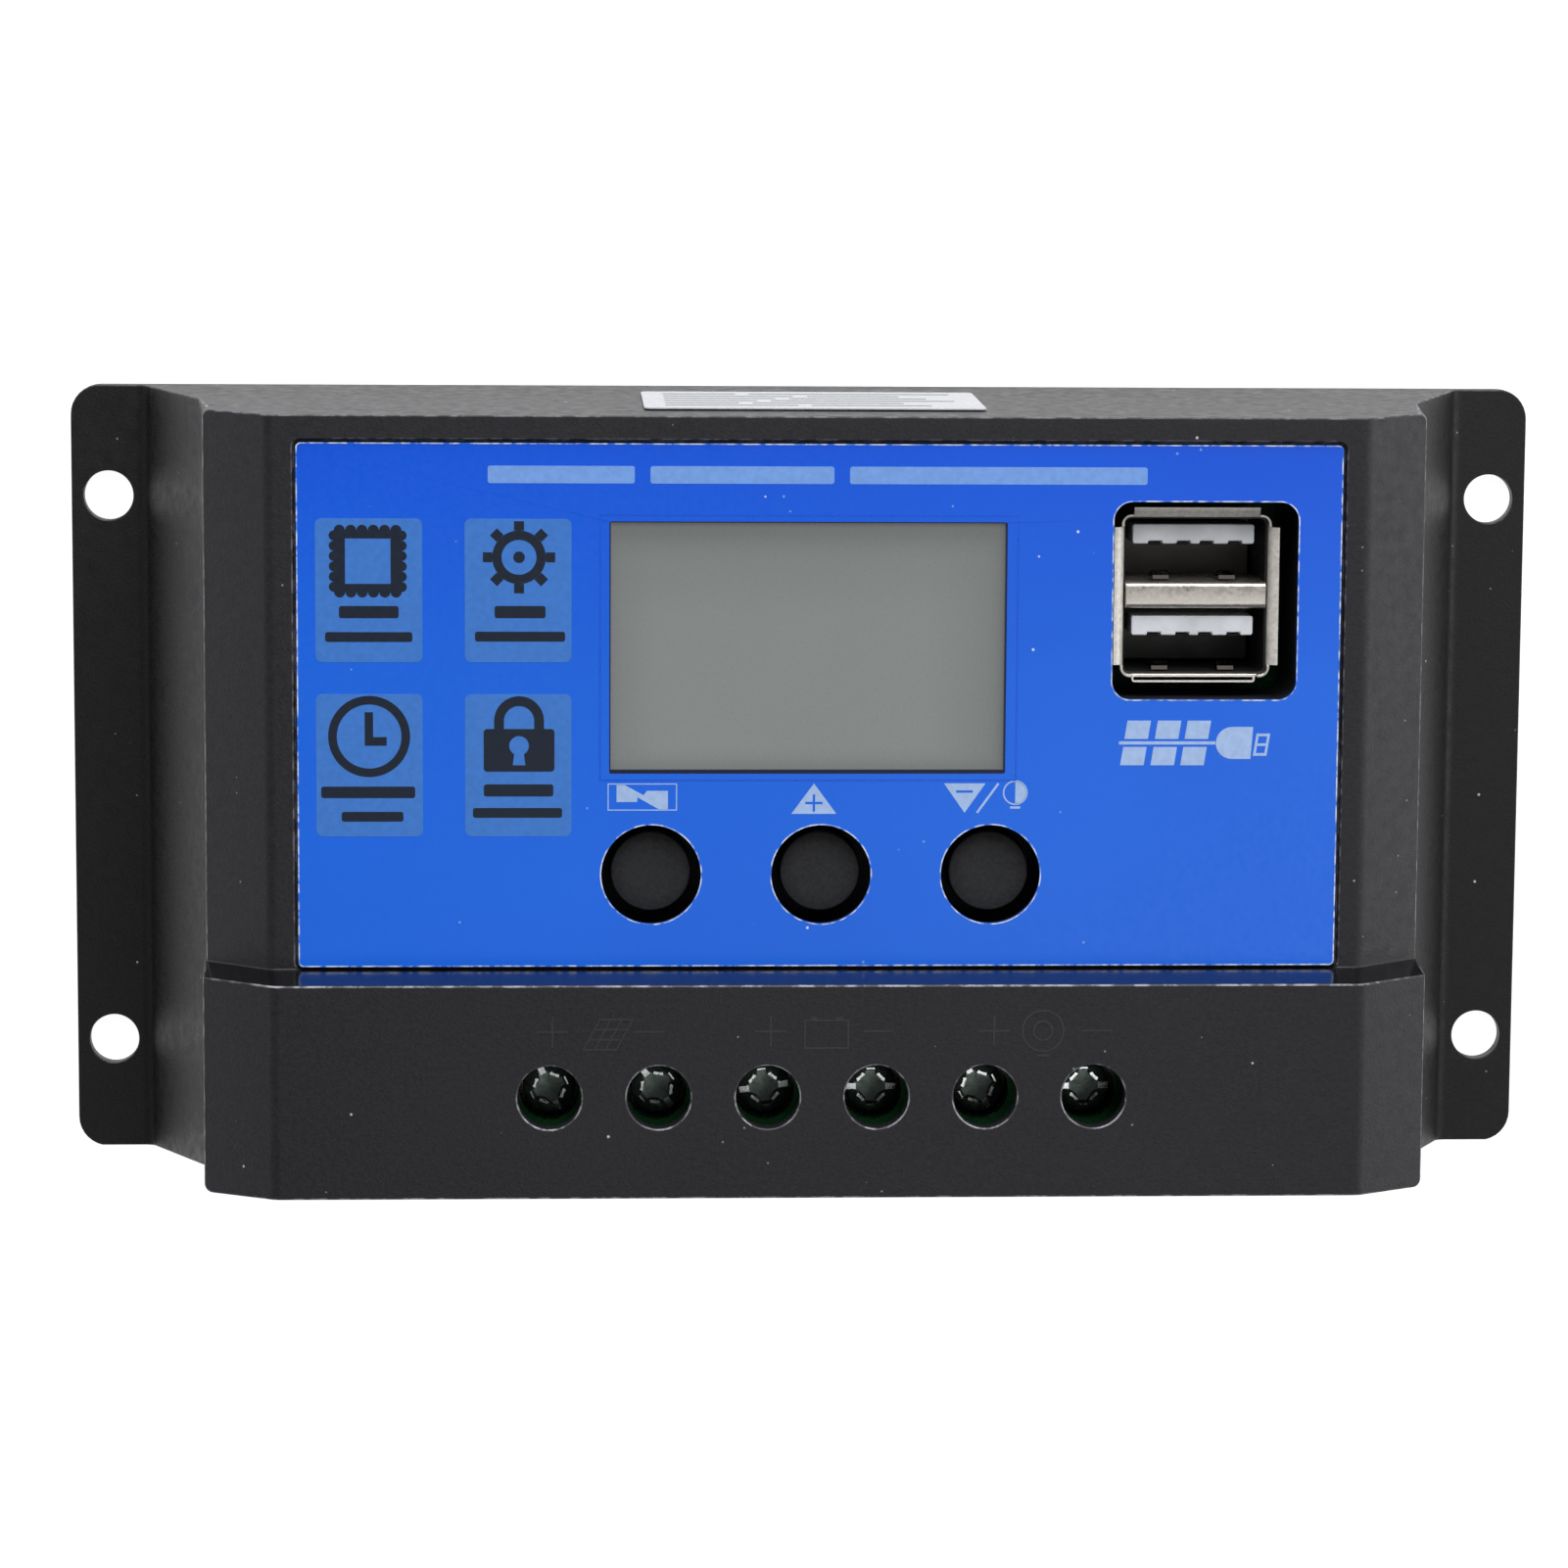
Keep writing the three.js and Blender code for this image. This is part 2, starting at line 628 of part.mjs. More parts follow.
[-27, -9, 9, 27].forEach((x, index) => place(`mosfet_${index + 1}`, mosfet(x), chipResin));
place('thermal_pad', thermalSheet(), siliconePad);
place('capacitor_1', capacitor(-33, 20, 5, 13), canSleeve);
place('capacitor_2', capacitor(-33, 6.5, 4, 11), canSleeve);
place('inductor', drumInductor(-34, -6), chipResin);
place('microcontroller', tile(-1, 15, 10, 10, [board.z - GAP - 1.5, board.z - GAP]), chipResin);
place('regulator_chip', tile(33, 4, 6, 5, [seatZ, seatZ + 1.7]), chipResin);

export default controller;
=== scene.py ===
"""The solar charge controller's looks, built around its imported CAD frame.

Shapes are put together in millimetres, as Solids, and become metres when they turn into a
piece. X runs along the case, +Y points to the end with the sticker, Z out of the face.
"""

import math

import bmesh
import bpy
from mathutils import Matrix, Vector
from mathutils.geometry import tessellate_polygon


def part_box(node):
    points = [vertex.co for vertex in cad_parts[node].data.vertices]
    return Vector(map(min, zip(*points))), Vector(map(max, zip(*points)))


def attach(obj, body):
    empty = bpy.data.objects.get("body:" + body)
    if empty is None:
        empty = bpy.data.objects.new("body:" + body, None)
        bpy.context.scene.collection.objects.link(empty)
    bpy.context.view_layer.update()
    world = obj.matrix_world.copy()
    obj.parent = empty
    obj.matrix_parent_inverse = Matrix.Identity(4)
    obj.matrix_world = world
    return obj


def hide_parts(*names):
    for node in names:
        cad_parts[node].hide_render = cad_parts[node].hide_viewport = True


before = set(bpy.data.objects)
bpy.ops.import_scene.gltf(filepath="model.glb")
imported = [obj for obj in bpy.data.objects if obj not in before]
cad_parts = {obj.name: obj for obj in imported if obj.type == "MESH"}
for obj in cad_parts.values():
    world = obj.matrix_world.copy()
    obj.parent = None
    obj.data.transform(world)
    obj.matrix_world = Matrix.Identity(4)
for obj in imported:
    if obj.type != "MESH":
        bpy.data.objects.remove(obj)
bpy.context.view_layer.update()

MM = 0.001


def box_mm(node):
    """A CAD node's lowest and highest corner, in millimetres."""
    low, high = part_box(node)
    return low / MM, high / MM


def middle_mm(node):
    """The x and y of a CAD node's middle."""
    low, high = box_mm(node)
    return (low.x + high.x) / 2, (low.y + high.y) / 2


def plan_mm(node):
    """A CAD node seen from above: its middle's x and y, its width and its height."""
    low, high = box_mm(node)
    return *middle_mm(node), high.x - low.x, high.y - low.y


# ---- sizes (mm) ----

HALF_X, HALF_Y, CASE_TOP = box_mm("front_cover")[1]
WALL = 2.0
FLANGE = 1.5
FLANGE_CORNER = 2.75
FLANGE_FOOT_X = 60.0
FOOT_RADIUS = 1.2
HOLE_X = 63.4
HOLE_Y = 25.1
HOLE_RADIUS = 2.25
FLARE_X = 54.15
FLARE_Z = 15.0
FACET_X = 53.25
SHOULDER_RADIUS = 1.6
END_CORNER_RADIUS = 0.7
SYMBOL_RELIEF = 0.03
DISPLAY_LEVEL = {"z": 30.0, "flat_x": 47.4, "facet_z": 25.0}
TERMINAL_LEVEL = {"z": CASE_TOP - SYMBOL_RELIEF, "flat_x": 46.9, "facet_z": 30.0}
STEP_BASE_Y = -14.05
STEP_TOP_Y = -14.7
TOP_DRAFT = 0.043
BOTTOM_DRAFT = 0.054
PAST = 1.0  # how far a cutting tool reaches past what it cuts
GAP = 0.3  # left free between two parts

FILM = plan_mm("label_overlay")
FILM_FOOT, FILM_TOP = [corner.z for corner in box_mm("label_overlay")]
FILM_GAP = 0.27
RECESS_FLOOR = FILM_FOOT - 0.1
INK = (FILM_TOP, FILM_TOP + 0.012)
INK_OVER = (FILM_TOP, FILM_TOP + 0.024)
WINDOW = (-1.0, 13.93, 34.3, 21.8)  # this and other openings: x, y, width, height
WINDOW_CUT = (-1.0, 13.93, 36.3, 23.8)
WINDOW_BORDER = (-0.93, 13.93, 36.2, 23.1)
BUTTONS = [middle_mm(f"button_cap_{i}") for i in (1, 2, 3)]
BUTTON_HOLE_RADIUS = 4.45

POLES = [middle_mm(f"terminal_screw_{i}") for i in range(1, 7)]
ACCESS_Y = -24.47
ACCESS_RADIUS = 2.75
WIRE_ENTRY = {"width": 7.4, "z0": 14.6, "z1": 22.2}
HEAD_RADIUS = 2.3
HEAD_RISE = 0.95
SHANK_RADIUS = 1.75
THREAD_PITCH = 0.7
THREAD_DEPTH = 0.25
CLAMP_TRAVEL = 3 * THREAD_PITCH
CROSS_HOLLOW = 1.72  # where the hollow between two arms of a cross recess has its centre
SLOT_ANGLES = (-66, -52, 8, 0, -63, 1)
SLOT_WIDTH = 0.6
SLOT_DEPTH = 0.6
PILOT_RADIUS = 1.5

USB_CUT = (33.44, 18.05, 16.4, 17.3)
USB_FILM_HOLE = (33.4, 18.05, 16.04, 17.14)
USB_CUT_RADIUS = 1.6
USB_X, USB_Y = 32.9, 18.27
USB_WIDTH, USB_HEIGHT = 13.2, 14.3
USB_INSIDE = (USB_X, USB_Y, 12.6, 13.7)
USB_MOUTH_Z = 27.2
USB_FLOOR_Z = 17.3
USB_SHEET = (USB_WIDTH - USB_INSIDE[2]) / 2
USB_DIVIDER = {"y": 18.34, "height": 2.32, "half_length": 6.15}
USB_MOUTH_FEET = (11.55, 19.5)
USB_TONGUES_Y = (23.6, 15.6)
USB_CONTACTS_X = (-3.5, -1.0, 1.0, 3.5)

STICKER = {"x": -0.2, "z": 17.0, "width": 29.8, "height": 16.0}
TILES = {"x": (-38.8, -26.0), "y": (18.87, 3.75), "width": 9.16, "height": 12.37}
PANEL = {"width": 3.0, "height": 2.8, "lean": 1.5}


def top_end_y(z):
    return HALF_Y - TOP_DRAFT * z


def bottom_end_y(z):
    return -HALF_Y + BOTTOM_DRAFT * z


def window_sides():
    x, y, width, height = WINDOW
    return x - width / 2, x + width / 2, y - height / 2, y + height / 2


def chamber_ceiling(pole):
    """How high a terminal's chamber reaches: the cage, its travel and a gap."""
    return box_mm(f"clamp_cage_{pole}")[1].z + CLAMP_TRAVEL + GAP


# ---- outlines ----


def angles(start, end, steps):
    """Radians, spread evenly from one angle in degrees to another."""
    return [math.radians(start + (end - start) * i / steps) for i in range(steps + 1)]


def arc(x, y, radius, start, end, steps):
    """Points of an arc between two angles in degrees."""
    return [(x + radius * math.cos(a), y + radius * math.sin(a)) for a in angles(start, end, steps)]


def circle(x, y, radius, sides=48):
    return arc(x, y, radius, 0, 360, sides)[:-1]


def rectangle(x, y, width, height, radius=0.0, steps=6):
    """A rectangle round its middle, with round corners if it has a radius."""
    right, top = width / 2 - radius, height / 2 - radius
    if not radius:
        return [(x + i * right, y + j * top) for i, j in ((-1, -1), (1, -1), (1, 1), (-1, 1))]
    outline = []
    corners = [(right, top, 0), (-right, top, 90), (-right, -top, 180), (right, -top, 270)]
    for cx, cy, start in corners:
        outline += arc(x + cx, y + cy, radius, start, start + 90, steps)
    return outline


def grown(sheet, growth, radius=0.0, steps=6):
    """The outline of a sheet (x, y, width, height) made wider and taller by as much."""
    x, y, width, height = sheet
    return rectangle(x, y, width + growth, height + growth, radius, steps)


def fillet(before, corner, after, radius, steps=6):
    """An arc of that radius in place of a path's corner."""
    here = Vector(corner)
    back = (Vector(before) - here).normalized()
    ahead = (Vector(after) - here).normalized()
    half = back.angle(ahead) / 2
    reach = radius / math.tan(half)
    centre = here + (back + ahead).normalized() * (radius / math.sin(half))
    first = here + back * reach - centre
    sweep = first.angle_signed(here + ahead * reach - centre)
    turns = [Matrix.Rotation(-sweep * step / steps, 2) for step in range(steps + 1)]
    return [tuple(centre + turn @ first) for turn in turns]


def mirrored(half):
    return list(half) + [(-x, z) for x, z in reversed(half)]


def four_times(quarter):
    """A stretch of an outline, repeated at each quarter turn round the origin."""
    outline = []
    for _ in range(4):
        outline += quarter
        quarter = [(-y, x) for x, y in quarter]
    return outline


def slanted_block(x, y, width, height, lean):
    """A block that leans to the right, by lean from its foot to its top."""
    right, left, top, foot = x + width / 2, x - width / 2, y + height / 2, y - height / 2
    shift = lean / 2
    return [(left - shift, foot), (right - shift, foot), (right + shift, top), (left + shift, top)]


def triangle(x, y, width, height):
    """A triangle on its base, or on its point where height is negative."""
    foot = y - height / 2
    return [(x - width / 2, foot), (x + width / 2, foot), (x, y + height / 2)]


def plus_outline(x, y, size, width):
    a, b = size / 2, width / 2
    return [(x + px, y + py) for px, py in four_times([(a, -b), (a, b), (b, b)])]


# ---- solids ----


class Solid:
    """Points and faces in millimetres."""

    def __init__(self, points=(), faces=()):
        self.points = [Vector(p) for p in points]
        self.faces = [tuple(f) for f in faces]

    def __add__(self, other):
        shift = len(self.points)
        faces = [tuple(i + shift for i in face) for face in other.faces]
        return Solid(self.points + other.points, self.faces + faces)

    def moved(self, x=0.0, y=0.0, z=0.0):
        offset = Vector((x, y, z))
        return Solid([p + offset for p in self.points], self.faces)

    def turned(self, axis, degrees):
        turn = Matrix.Rotation(math.radians(degrees), 3, axis)
        return Solid([turn @ p for p in self.points], self.faces)


def joined(solids):
    return sum(solids, Solid())


def loft(rings):
    """A closed skin over rings with the same number of points, capped at both ends."""
    count = len(rings[0])
    points = [point for ring in rings for point in ring]
    last = len(points) - count
    faces = []
    for start in range(0, last, count):
        for i in range(count):
            a, b = start + i, start + (i + 1) % count
            faces.append((a, b, b + count, a + count))
    faces.append(tuple(range(count - 1, -1, -1)))
    faces.append(tuple(range(last, last + count)))
    return Solid(points, faces)


def prism(outline, z0, z1):
    """An upright prism over an anticlockwise outline of (x, y)."""
    return loft([[(x, y, z) for x, y in outline] for z in (z0, z1)])


def along_x(outline, x0, x1):
    """A prism that runs along X, over an outline of (y, z)."""
    upright = prism(outline, x0, x1)
    return Solid([(p.z, p.x, p.y) for p in upright.points], upright.faces)


def block(x0, x1, y0, y1, z0, z1):
    return prism([(x0, y0), (x1, y0), (x1, y1), (x0, y1)], z0, z1)


def rod(x, y, z0, z1, radius, sides=48):
    return prism(circle(x, y, radius, sides), z0, z1)


def plate(outline, holes, z0, z1):
    """A flat sheet with holes. The outline is anticlockwise, and so is each hole."""
    loops = [outline] + [list(reversed(hole)) for hole in holes]
    flat = [point for loop in loops for point in loop]
    count = len(flat)
    points = [(x, y, z0) for x, y in flat] + [(x, y, z1) for x, y in flat]
    faces = []
    for a, b, c in tessellate_polygon([[Vector((x, y, 0)) for x, y in loop] for loop in loops]):
        faces.append((a + count, b + count, c + count))
        faces.append((c, b, a))
    start = 0
    for loop in loops:
        for i in range(len(loop)):
            j = start + (i + 1) % len(loop)
            faces.append((start + i, j, j + count, start + i + count))
        start += len(loop)
    return Solid(points, faces)


def lathe(profile, sides=48):
    """A turned piece over a profile of (radius, z)."""
    return loft([[(x, y, z) for x, y in circle(0, 0, radius, sides)] for radius, z in profile])


def as_object(name, solid, scale=1.0):
    """An object with the solid's mesh, its faces turned to point out."""
    mesh = bpy.data.meshes.new(name)
    mesh.from_pydata([p * scale for p in solid.points], [], solid.faces)
    bm = bmesh.new()
    bm.from_mesh(mesh)
    bmesh.ops.recalc_face_normals(bm, faces=bm.faces)
    bm.to_mesh(mesh)
    bm.free()
    obj = bpy.data.objects.new(name, mesh)
    bpy.context.scene.collection.objects.link(obj)
    return obj


def combined(body, tools, operation):
    """The body with each tool cut away from it, or kept in common with it."""
    target = as_object("body", body)
    helpers = []
    for tool in tools:
        helper = as_object("tool", tool)
        modifier = target.modifiers.new("combine", "BOOLEAN")
        modifier.operation = operation
        modifier.solver = "EXACT"
        modifier.object = helper
        helpers.append(helper)
    bpy.context.view_layer.update()
    mesh = target.evaluated_get(bpy.context.evaluated_depsgraph_get()).to_mesh()
    result = Solid([v.co for v in mesh.vertices], [p.vertices for p in mesh.polygons])
    for obj in [target, *helpers]:
        bpy.data.meshes.remove(obj.data)
    return result


def cut(body, *tools):
    return combined(body, tools, "DIFFERENCE")


# ---- materials ----

FINE = (0.35, 0.65)


def linear(rgb):
    """A colour given as 0 to 255 display values, as scene-linear RGBA."""
    out = []
    for value in rgb:
        v = value / 255
        out.append(v / 12.92 if v <= 0.04045 else ((v + 0.055) / 1.055) ** 2.4)
    return (*out, 1.0)


def deeper(rgb, share):
    return [value * share for value in rgb]


class Paint:
    """A Principled material and short ways to add nodes to it. Its colours are 0 to 255."""

    def __init__(self, name, rgb, roughness, metallic=0.0):
        self.name = name
        self.material = bpy.data.materials.new(name)
        self.material.use_nodes = True
        tree = self.material.node_tree
        self.nodes, self.links = tree.nodes, tree.links
        self.shader = self.nodes["Principled BSDF"]
        self.look(Base_Color=linear(rgb), Roughness=roughness, Metallic=metallic)
        self.place = self.nodes.new("ShaderNodeTexCoord").outputs["Object"]

    def feed(self, socket, value):
        """Gives an input its value, or links it to the output it follows."""
        if isinstance(value, bpy.types.NodeSocket):
            self.links.new(value, socket)
        else:
            socket.default_value = value

    def look(self, **inputs):
        """Inputs of the shader, named with _ for a space."""
        for name, value in inputs.items():
            self.feed(self.shader.inputs[name.replace("_", " ")], value)

    def add(self, kind, **inputs):
        node = self.nodes.new(f"ShaderNode{kind}")
        for name, value in inputs.items():
            self.feed(node.inputs[name.replace("_", " ")], value)
        return node

    def noise(self, scale, detail=2.0, roughness=0.5, stretch=None):
        place = self.place
        if stretch:
            place = self.add("Mapping", Scale=stretch, Vector=place).outputs["Vector"]
        node = self.add("TexNoise", Scale=scale, Detail=detail, Roughness=roughness, Vector=place)
        return node.outputs["Fac"]

    def ranged(self, value, from_low, from_high, to_low=0.0, to_high=1.0):
        node = self.add("MapRange", Value=value, From_Min=from_low, From_Max=from_high)
        self.feed(node.inputs["To Min"], to_low)
        self.feed(node.inputs["To Max"], to_high)
        return node.outputs["Result"]

    def clouds(self, scale, detail=2.0, spread=(0.3, 0.7), ends=(0.0, 1.0)):
        """Noise whose middle values, those within spread, go from one end to the other."""
        return self.ranged(self.noise(scale, detail), *spread, *ends)

    def fade(self, axis, dark, light):
        """A value that goes from 0 to 1 between two places along X, Y or Z, in mm."""
        split = self.add("SeparateXYZ", Vector=self.place)
        return self.ranged(split.outputs[axis], dark * MM, light * MM)

    def product(self, a, b):
        node = self.add("Math", Value=a)
        node.operation = "MULTIPLY"
        self.feed(node.inputs[1], b)
        return node.outputs["Value"]

    def mix(self, factor, a, b):
        """Colour a where factor is 0 and b where it is 1; either may be a socket."""
        node = self.add("Mix", Factor=factor)
        node.data_type = "RGBA"
        for socket, value in zip([s for s in node.inputs if s.type == "RGBA"], (a, b)):
            is_socket = isinstance(value, bpy.types.NodeSocket)
            self.feed(socket, value if is_socket else linear(value))
        return [s for s in node.outputs if s.type == "RGBA"][0]

    def specks(self, base, speck, scale, radius, share):
        """Tiny dust specks over a colour: share is how many of the cells hold one."""
        cells = self.add("TexVoronoi", Scale=scale, Vector=self.place)
        dot = self.ranged(cells.outputs["Distance"], radius, radius * 0.6)
        split = self.add("SeparateColor", Color=cells.outputs["Color"])
        chosen = self.ranged(split.outputs["Red"], 1 - share, 1 - share + 0.01)
        return self.mix(self.product(dot, chosen), base, speck)

    def bump(self, height, depth):
        """Relief from a value, its depth in mm."""
        node = self.add("Bump", Strength=1.0, Distance=depth * MM, Height=height)
        self.look(Normal=node.outputs["Normal"])

    def finish(self, colour, scale, smooth, rough, detail=2.0):
        """The colour, and a roughness that wanders between two values."""
        self.look(Base_Color=colour, Roughness=self.clouds(scale, detail, ends=(smooth, rough)))
        return self

    def marked(self, marks, dull, bright, rough, spread=(0.3, 0.7)):
        """Colour and roughness that follow one pattern of marks."""
        self.look(Base_Color=self.mix(self.ranged(marks, *spread), dull, bright))
        self.look(Roughness=self.ranged(marks, 0.3, 0.7, *rough))
        return self


def cover_plastic():
    """Black moulding: faint clouds and grain, dust specks, and painted shade that darkens it low on
    the flanges and webs.
    """
    paint = Paint("cover_plastic", (27, 27, 30), 0.5)
    # Painted shade: the fade by height darkens the colour and the grain low down, on the flanges
    # and webs.
    height = paint.fade("Z", 2, 27)
    high = paint.mix(paint.clouds(60, 3), (25, 25, 29), (29, 29, 34))
    base = paint.mix(height, (10, 10, 13), high)
    grain = paint.mix(height, (14, 14, 18), (34, 34, 40))
    grained = paint.mix(paint.clouds(2400, 2, FINE), base, grain)
    dusty = paint.specks(grained, (130, 130, 135), 480, 0.055, 0.5)
    paint.look(Specular_IOR_Level=0.42)
    paint.bump(paint.noise(4200), 0.03)
    return paint.finish(paint.specks(dusty, (190, 190, 195), 230, 0.035, 0.6), 900, 0.42, 0.56)


def cover_edge():
    """The moulding's edges: painted glints, lighter the higher they lie, with scuffed wear along
    them, and painted shade in the step's crease.
    """
    paint = Paint("cover_edge", (50, 50, 54), 0.4)
    wear_and_glint_cloud = paint.clouds(900, 3, (0.45, 0.62))
    # Painted glints: edges lighter the higher they lie, and darkest low down where they are shaded.
    shaded_low_edge = paint.mix(wear_and_glint_cloud, (20, 20, 22), (44, 44, 47))
    lit_high_edge = paint.mix(wear_and_glint_cloud, (36, 36, 39), (92, 92, 98))
    top_edge_glint = paint.mix(wear_and_glint_cloud, (62, 62, 66), (150, 150, 156))
    glint_by_height = paint.mix(paint.fade("Z", 33, 34.5), lit_high_edge, top_edge_glint)
    edges = paint.mix(paint.fade("Z", 6, 16), shaded_low_edge, glint_by_height)
    # Painted shade in the crease at the foot of the step.
    near, far = 0.2, 0.3
    sides = [paint.fade("Y", STEP_BASE_Y - d * far, STEP_BASE_Y - d * near) for d in (1, -1)]
    crease_shade = paint.product(*sides)
    roughness = paint.ranged(wear_and_glint_cloud, 0.0, 1.0, 0.5, 0.36)
    paint.look(Base_Color=paint.mix(crease_shade, edges, (12, 12, 14)), Roughness=roughness)
    return paint


def shaded_polished_plastic():
    """The same moulding where the mould is polished, painted darker as shade on the step's wall."""
    paint = Paint("shaded_polished_plastic", (8, 8, 10), 0.16)
    return paint.finish(paint.mix(paint.noise(900, 3), (4, 4, 6), (13, 13, 16)), 1500, 0.1, 0.24)


def button_plastic():
    paint = Paint("button_plastic", (21, 22, 25), 0.55)
    base = paint.mix(paint.clouds(700, 3), (16, 17, 20), (22, 23, 26))
    grained = paint.mix(paint.clouds(2800, 2, FINE), base, (31, 32, 36))
    paint.bump(paint.noise(6000), 0.015)
    return paint.finish(grained, 1500, 0.48, 0.62)


def film_blue():
    """Printed film, with a painted sheen that makes it paler towards its foot, and dust on it."""
    paint = Paint("film_blue", (11, 95, 222), 0.27)
    cloud = paint.clouds(40)
    # Painted sheen: the lower colours are paler, standing in for light reflected low on the film.
    upper = paint.mix(cloud, (0, 84, 224), (0, 88, 228))
    lower = paint.mix(cloud, (10, 102, 230), (14, 106, 235))
    film_end_y, window_y = FILM[1] + FILM[3] / 2, WINDOW[1]
    base = paint.mix(paint.fade("Y", film_end_y, window_y - 3), upper, lower)
    dusty = paint.specks(base, (110, 160, 235), 420, 0.06, 0.5)
    paint.bump(paint.noise(2600, 1), 0.006)
    return paint.finish(paint.specks(dusty, (220, 232, 250), 260, 0.04, 0.5), 2200, 0.28, 0.38)


def ink(name, rgb, roughness=0.4):
    """Printed ink: an even colour with a slightly uneven lay."""
    paint = Paint(name, rgb, roughness)
    colour = paint.mix(paint.clouds(1800, 2, FINE), deeper(rgb, 0.95), rgb)
    return paint.finish(colour, 2500, roughness - 0.05, roughness + 0.05, 1)


def film_edge():
    """The cut edge of the film: pale where the knife has turned it up, blue elsewhere."""
    paint = Paint("film_edge", (130, 170, 235), 0.35)
    turned_up = paint.clouds(1300, 3, (0.4, 0.6))
    paint.look(Base_Color=paint.mix(turned_up, (40, 110, 225), (215, 228, 250)))
    return paint


def clear_pane():
    paint = Paint("clear_pane", (235, 240, 240), 0.08)
    paint.look(Alpha=0.12, Roughness=paint.clouds(300, ends=(0.06, 0.12)))
    return paint


def display_grey():
    """A display with nothing on it: grey, with painted shade that darkens it towards its edges."""
    paint = Paint("display_grey", (101, 107, 104), 0.3)
    cloud = paint.clouds(55)
    middle = paint.mix(cloud, (99, 105, 101), (105, 111, 107))
    # Painted shade: the window's frame shades the display's edges, the fade widest at the top and
    # right.
    edge = paint.mix(cloud, (68, 77, 70), (72, 81, 74))
    left, right, bottom, top = window_sides()
    lit = paint.product(
        paint.product(paint.fade("X", left - 1.5, left + 4), paint.fade("X", right + 1, right - 7)),
        paint.product(paint.fade("Y", bottom - 0.5, bottom + 2), paint.fade("Y", top + 1, top - 8)),
    )
    return paint.finish(paint.mix(lit, edge, middle), 3000, 0.25, 0.35)


def moulded(name, rgb, roughness):
    """Moulded resin: faint clouding and a fine grain."""
    paint = Paint(name, rgb, roughness)
    colour = paint.mix(paint.clouds(260, 3), deeper(rgb, 0.86), rgb)
    paint.bump(paint.noise(2500), 0.01)
    return paint.finish(colour, 2500, roughness - 0.08, roughness + 0.08)


def metal(name, rgb, roughness, stretch=(1, 1, 1), scale=1400):
    """Sheet or turned metal: fine marks, drawn out along one way for brushed sheet."""
    paint = Paint(name, rgb, roughness, 1.0)
    marks = paint.noise(scale, 3, 0.6, stretch)
    paint.bump(marks, 0.004)
    return paint.marked(marks, deeper(rgb, 0.84), rgb, (roughness - 0.07, roughness + 0.09))


def lip_tin():
    """Satin tin plating on the curled lips, a little scuffed."""
    paint = Paint("lip_tin", (246, 242, 234), 0.42, 0.3)
    marks = paint.noise(2400, 3, 0.6)
    return paint.marked(marks, (226, 221, 212), (252, 248, 240), (0.35, 0.5), FINE)


def clamp_screw_steel():
    """Dark grey zinc with a green tint painted in as a reflection of the green housing, dull with
    grease.
    """
    paint = Paint("clamp_screw_steel", (128, 142, 134), 0.36, 0.6)
    marks = paint.noise(1600, 3, 0.6)
    paint.bump(marks, 0.004)
    return paint.marked(marks, (104, 120, 112), (146, 160, 152), (0.3, 0.44))


def glint_and_wear_zinc():
    """Bright plating: wear, and painted glints."""
    paint = Paint("glint_and_wear_zinc", (240, 244, 242), 0.18, 0.9)
    marks = paint.noise(5000)
    return paint.marked(marks, (225, 230, 228), (252, 253, 253), (0.12, 0.26), FINE)


def solder_mask():
    paint = Paint("solder_mask", (20, 92, 52), 0.35)
    tracks = paint.add("TexVoronoi", Scale=620, Vector=paint.place)
    tracks.feature = "DISTANCE_TO_EDGE"
    line = paint.ranged(tracks.outputs["Distance"], 0.04, 0.07, 1.0, 0.0)
    paint.look(Base_Color=paint.mix(line, (18, 84, 48), (24, 98, 56)))
    paint.bump(line, 0.03)
    return paint


PAINTS = [
    cover_plastic(),
    cover_edge(),
    shaded_polished_plastic(),
    button_plastic(),
    film_blue(),
    # Painted shadow for the dark line round the display.
    ink("window_shadow_line", (2, 12, 50)),
    film_edge(),
    ink("film_frame", (5, 91, 224), 0.3),
    moulded("symbol_relief", (44, 44, 47), 0.42),
    ink("ink_title", (122, 168, 240)),
    ink("ink_tile", (62, 126, 214)),
    ink("ink_dark", (10, 26, 46)),
    ink("ink_pale", (172, 200, 244)),
    clear_pane(),
    display_grey(),
    moulded("milky", (222, 226, 224), 0.4),
    moulded("black_resin", (28, 28, 30), 0.45),
    moulded("terminal_green", (34, 92, 50), 0.3),
    metal("zinc_steel", (176, 180, 184), 0.24),
    clamp_screw_steel(),
    glint_and_wear_zinc(),
    metal("tinned_brass", (190, 184, 168), 0.3),
    metal("usb_tin", (236, 231, 222), 0.34, (1, 1, 6), 2400),
    # Tin painted near black: the shade on the springs and contacts deep in the sockets.
    metal("shade_dark_tin", (48, 45, 42), 0.3, scale=3000),
    lip_tin(),
    # White resin painted grey as the shade deep in the sockets.
    moulded("shaded_socket_floor", (112, 109, 106), 0.5),
    moulded("white_resin", (240, 243, 248), 0.4),
    solder_mask(),
    metal("plate_aluminium", (186, 188, 191), 0.34, (1, 22, 1), 900),
    moulded("silicone_pad", (140, 146, 152), 0.75),
    moulded("can_sleeve", (30, 34, 42), 0.3),
    ink("sticker_paper", (180, 181, 186), 0.55),
    ink("sticker_ink", (120, 122, 128), 0.55),
]
MATERIALS = {paint.name: paint.material for paint in PAINTS}


# ---- pieces ----


def add_bevel(obj, width, segments, limit):
    """A bevel on the edges whose faces meet at more than limit degrees."""
    edges = obj.modifiers.new("edges", "BEVEL")
    edges.width = width * MM
    edges.segments = segments
    edges.limit_method = "ANGLE"
    edges.angle_limit = math.radians(limit)
    edges.harden_normals = True


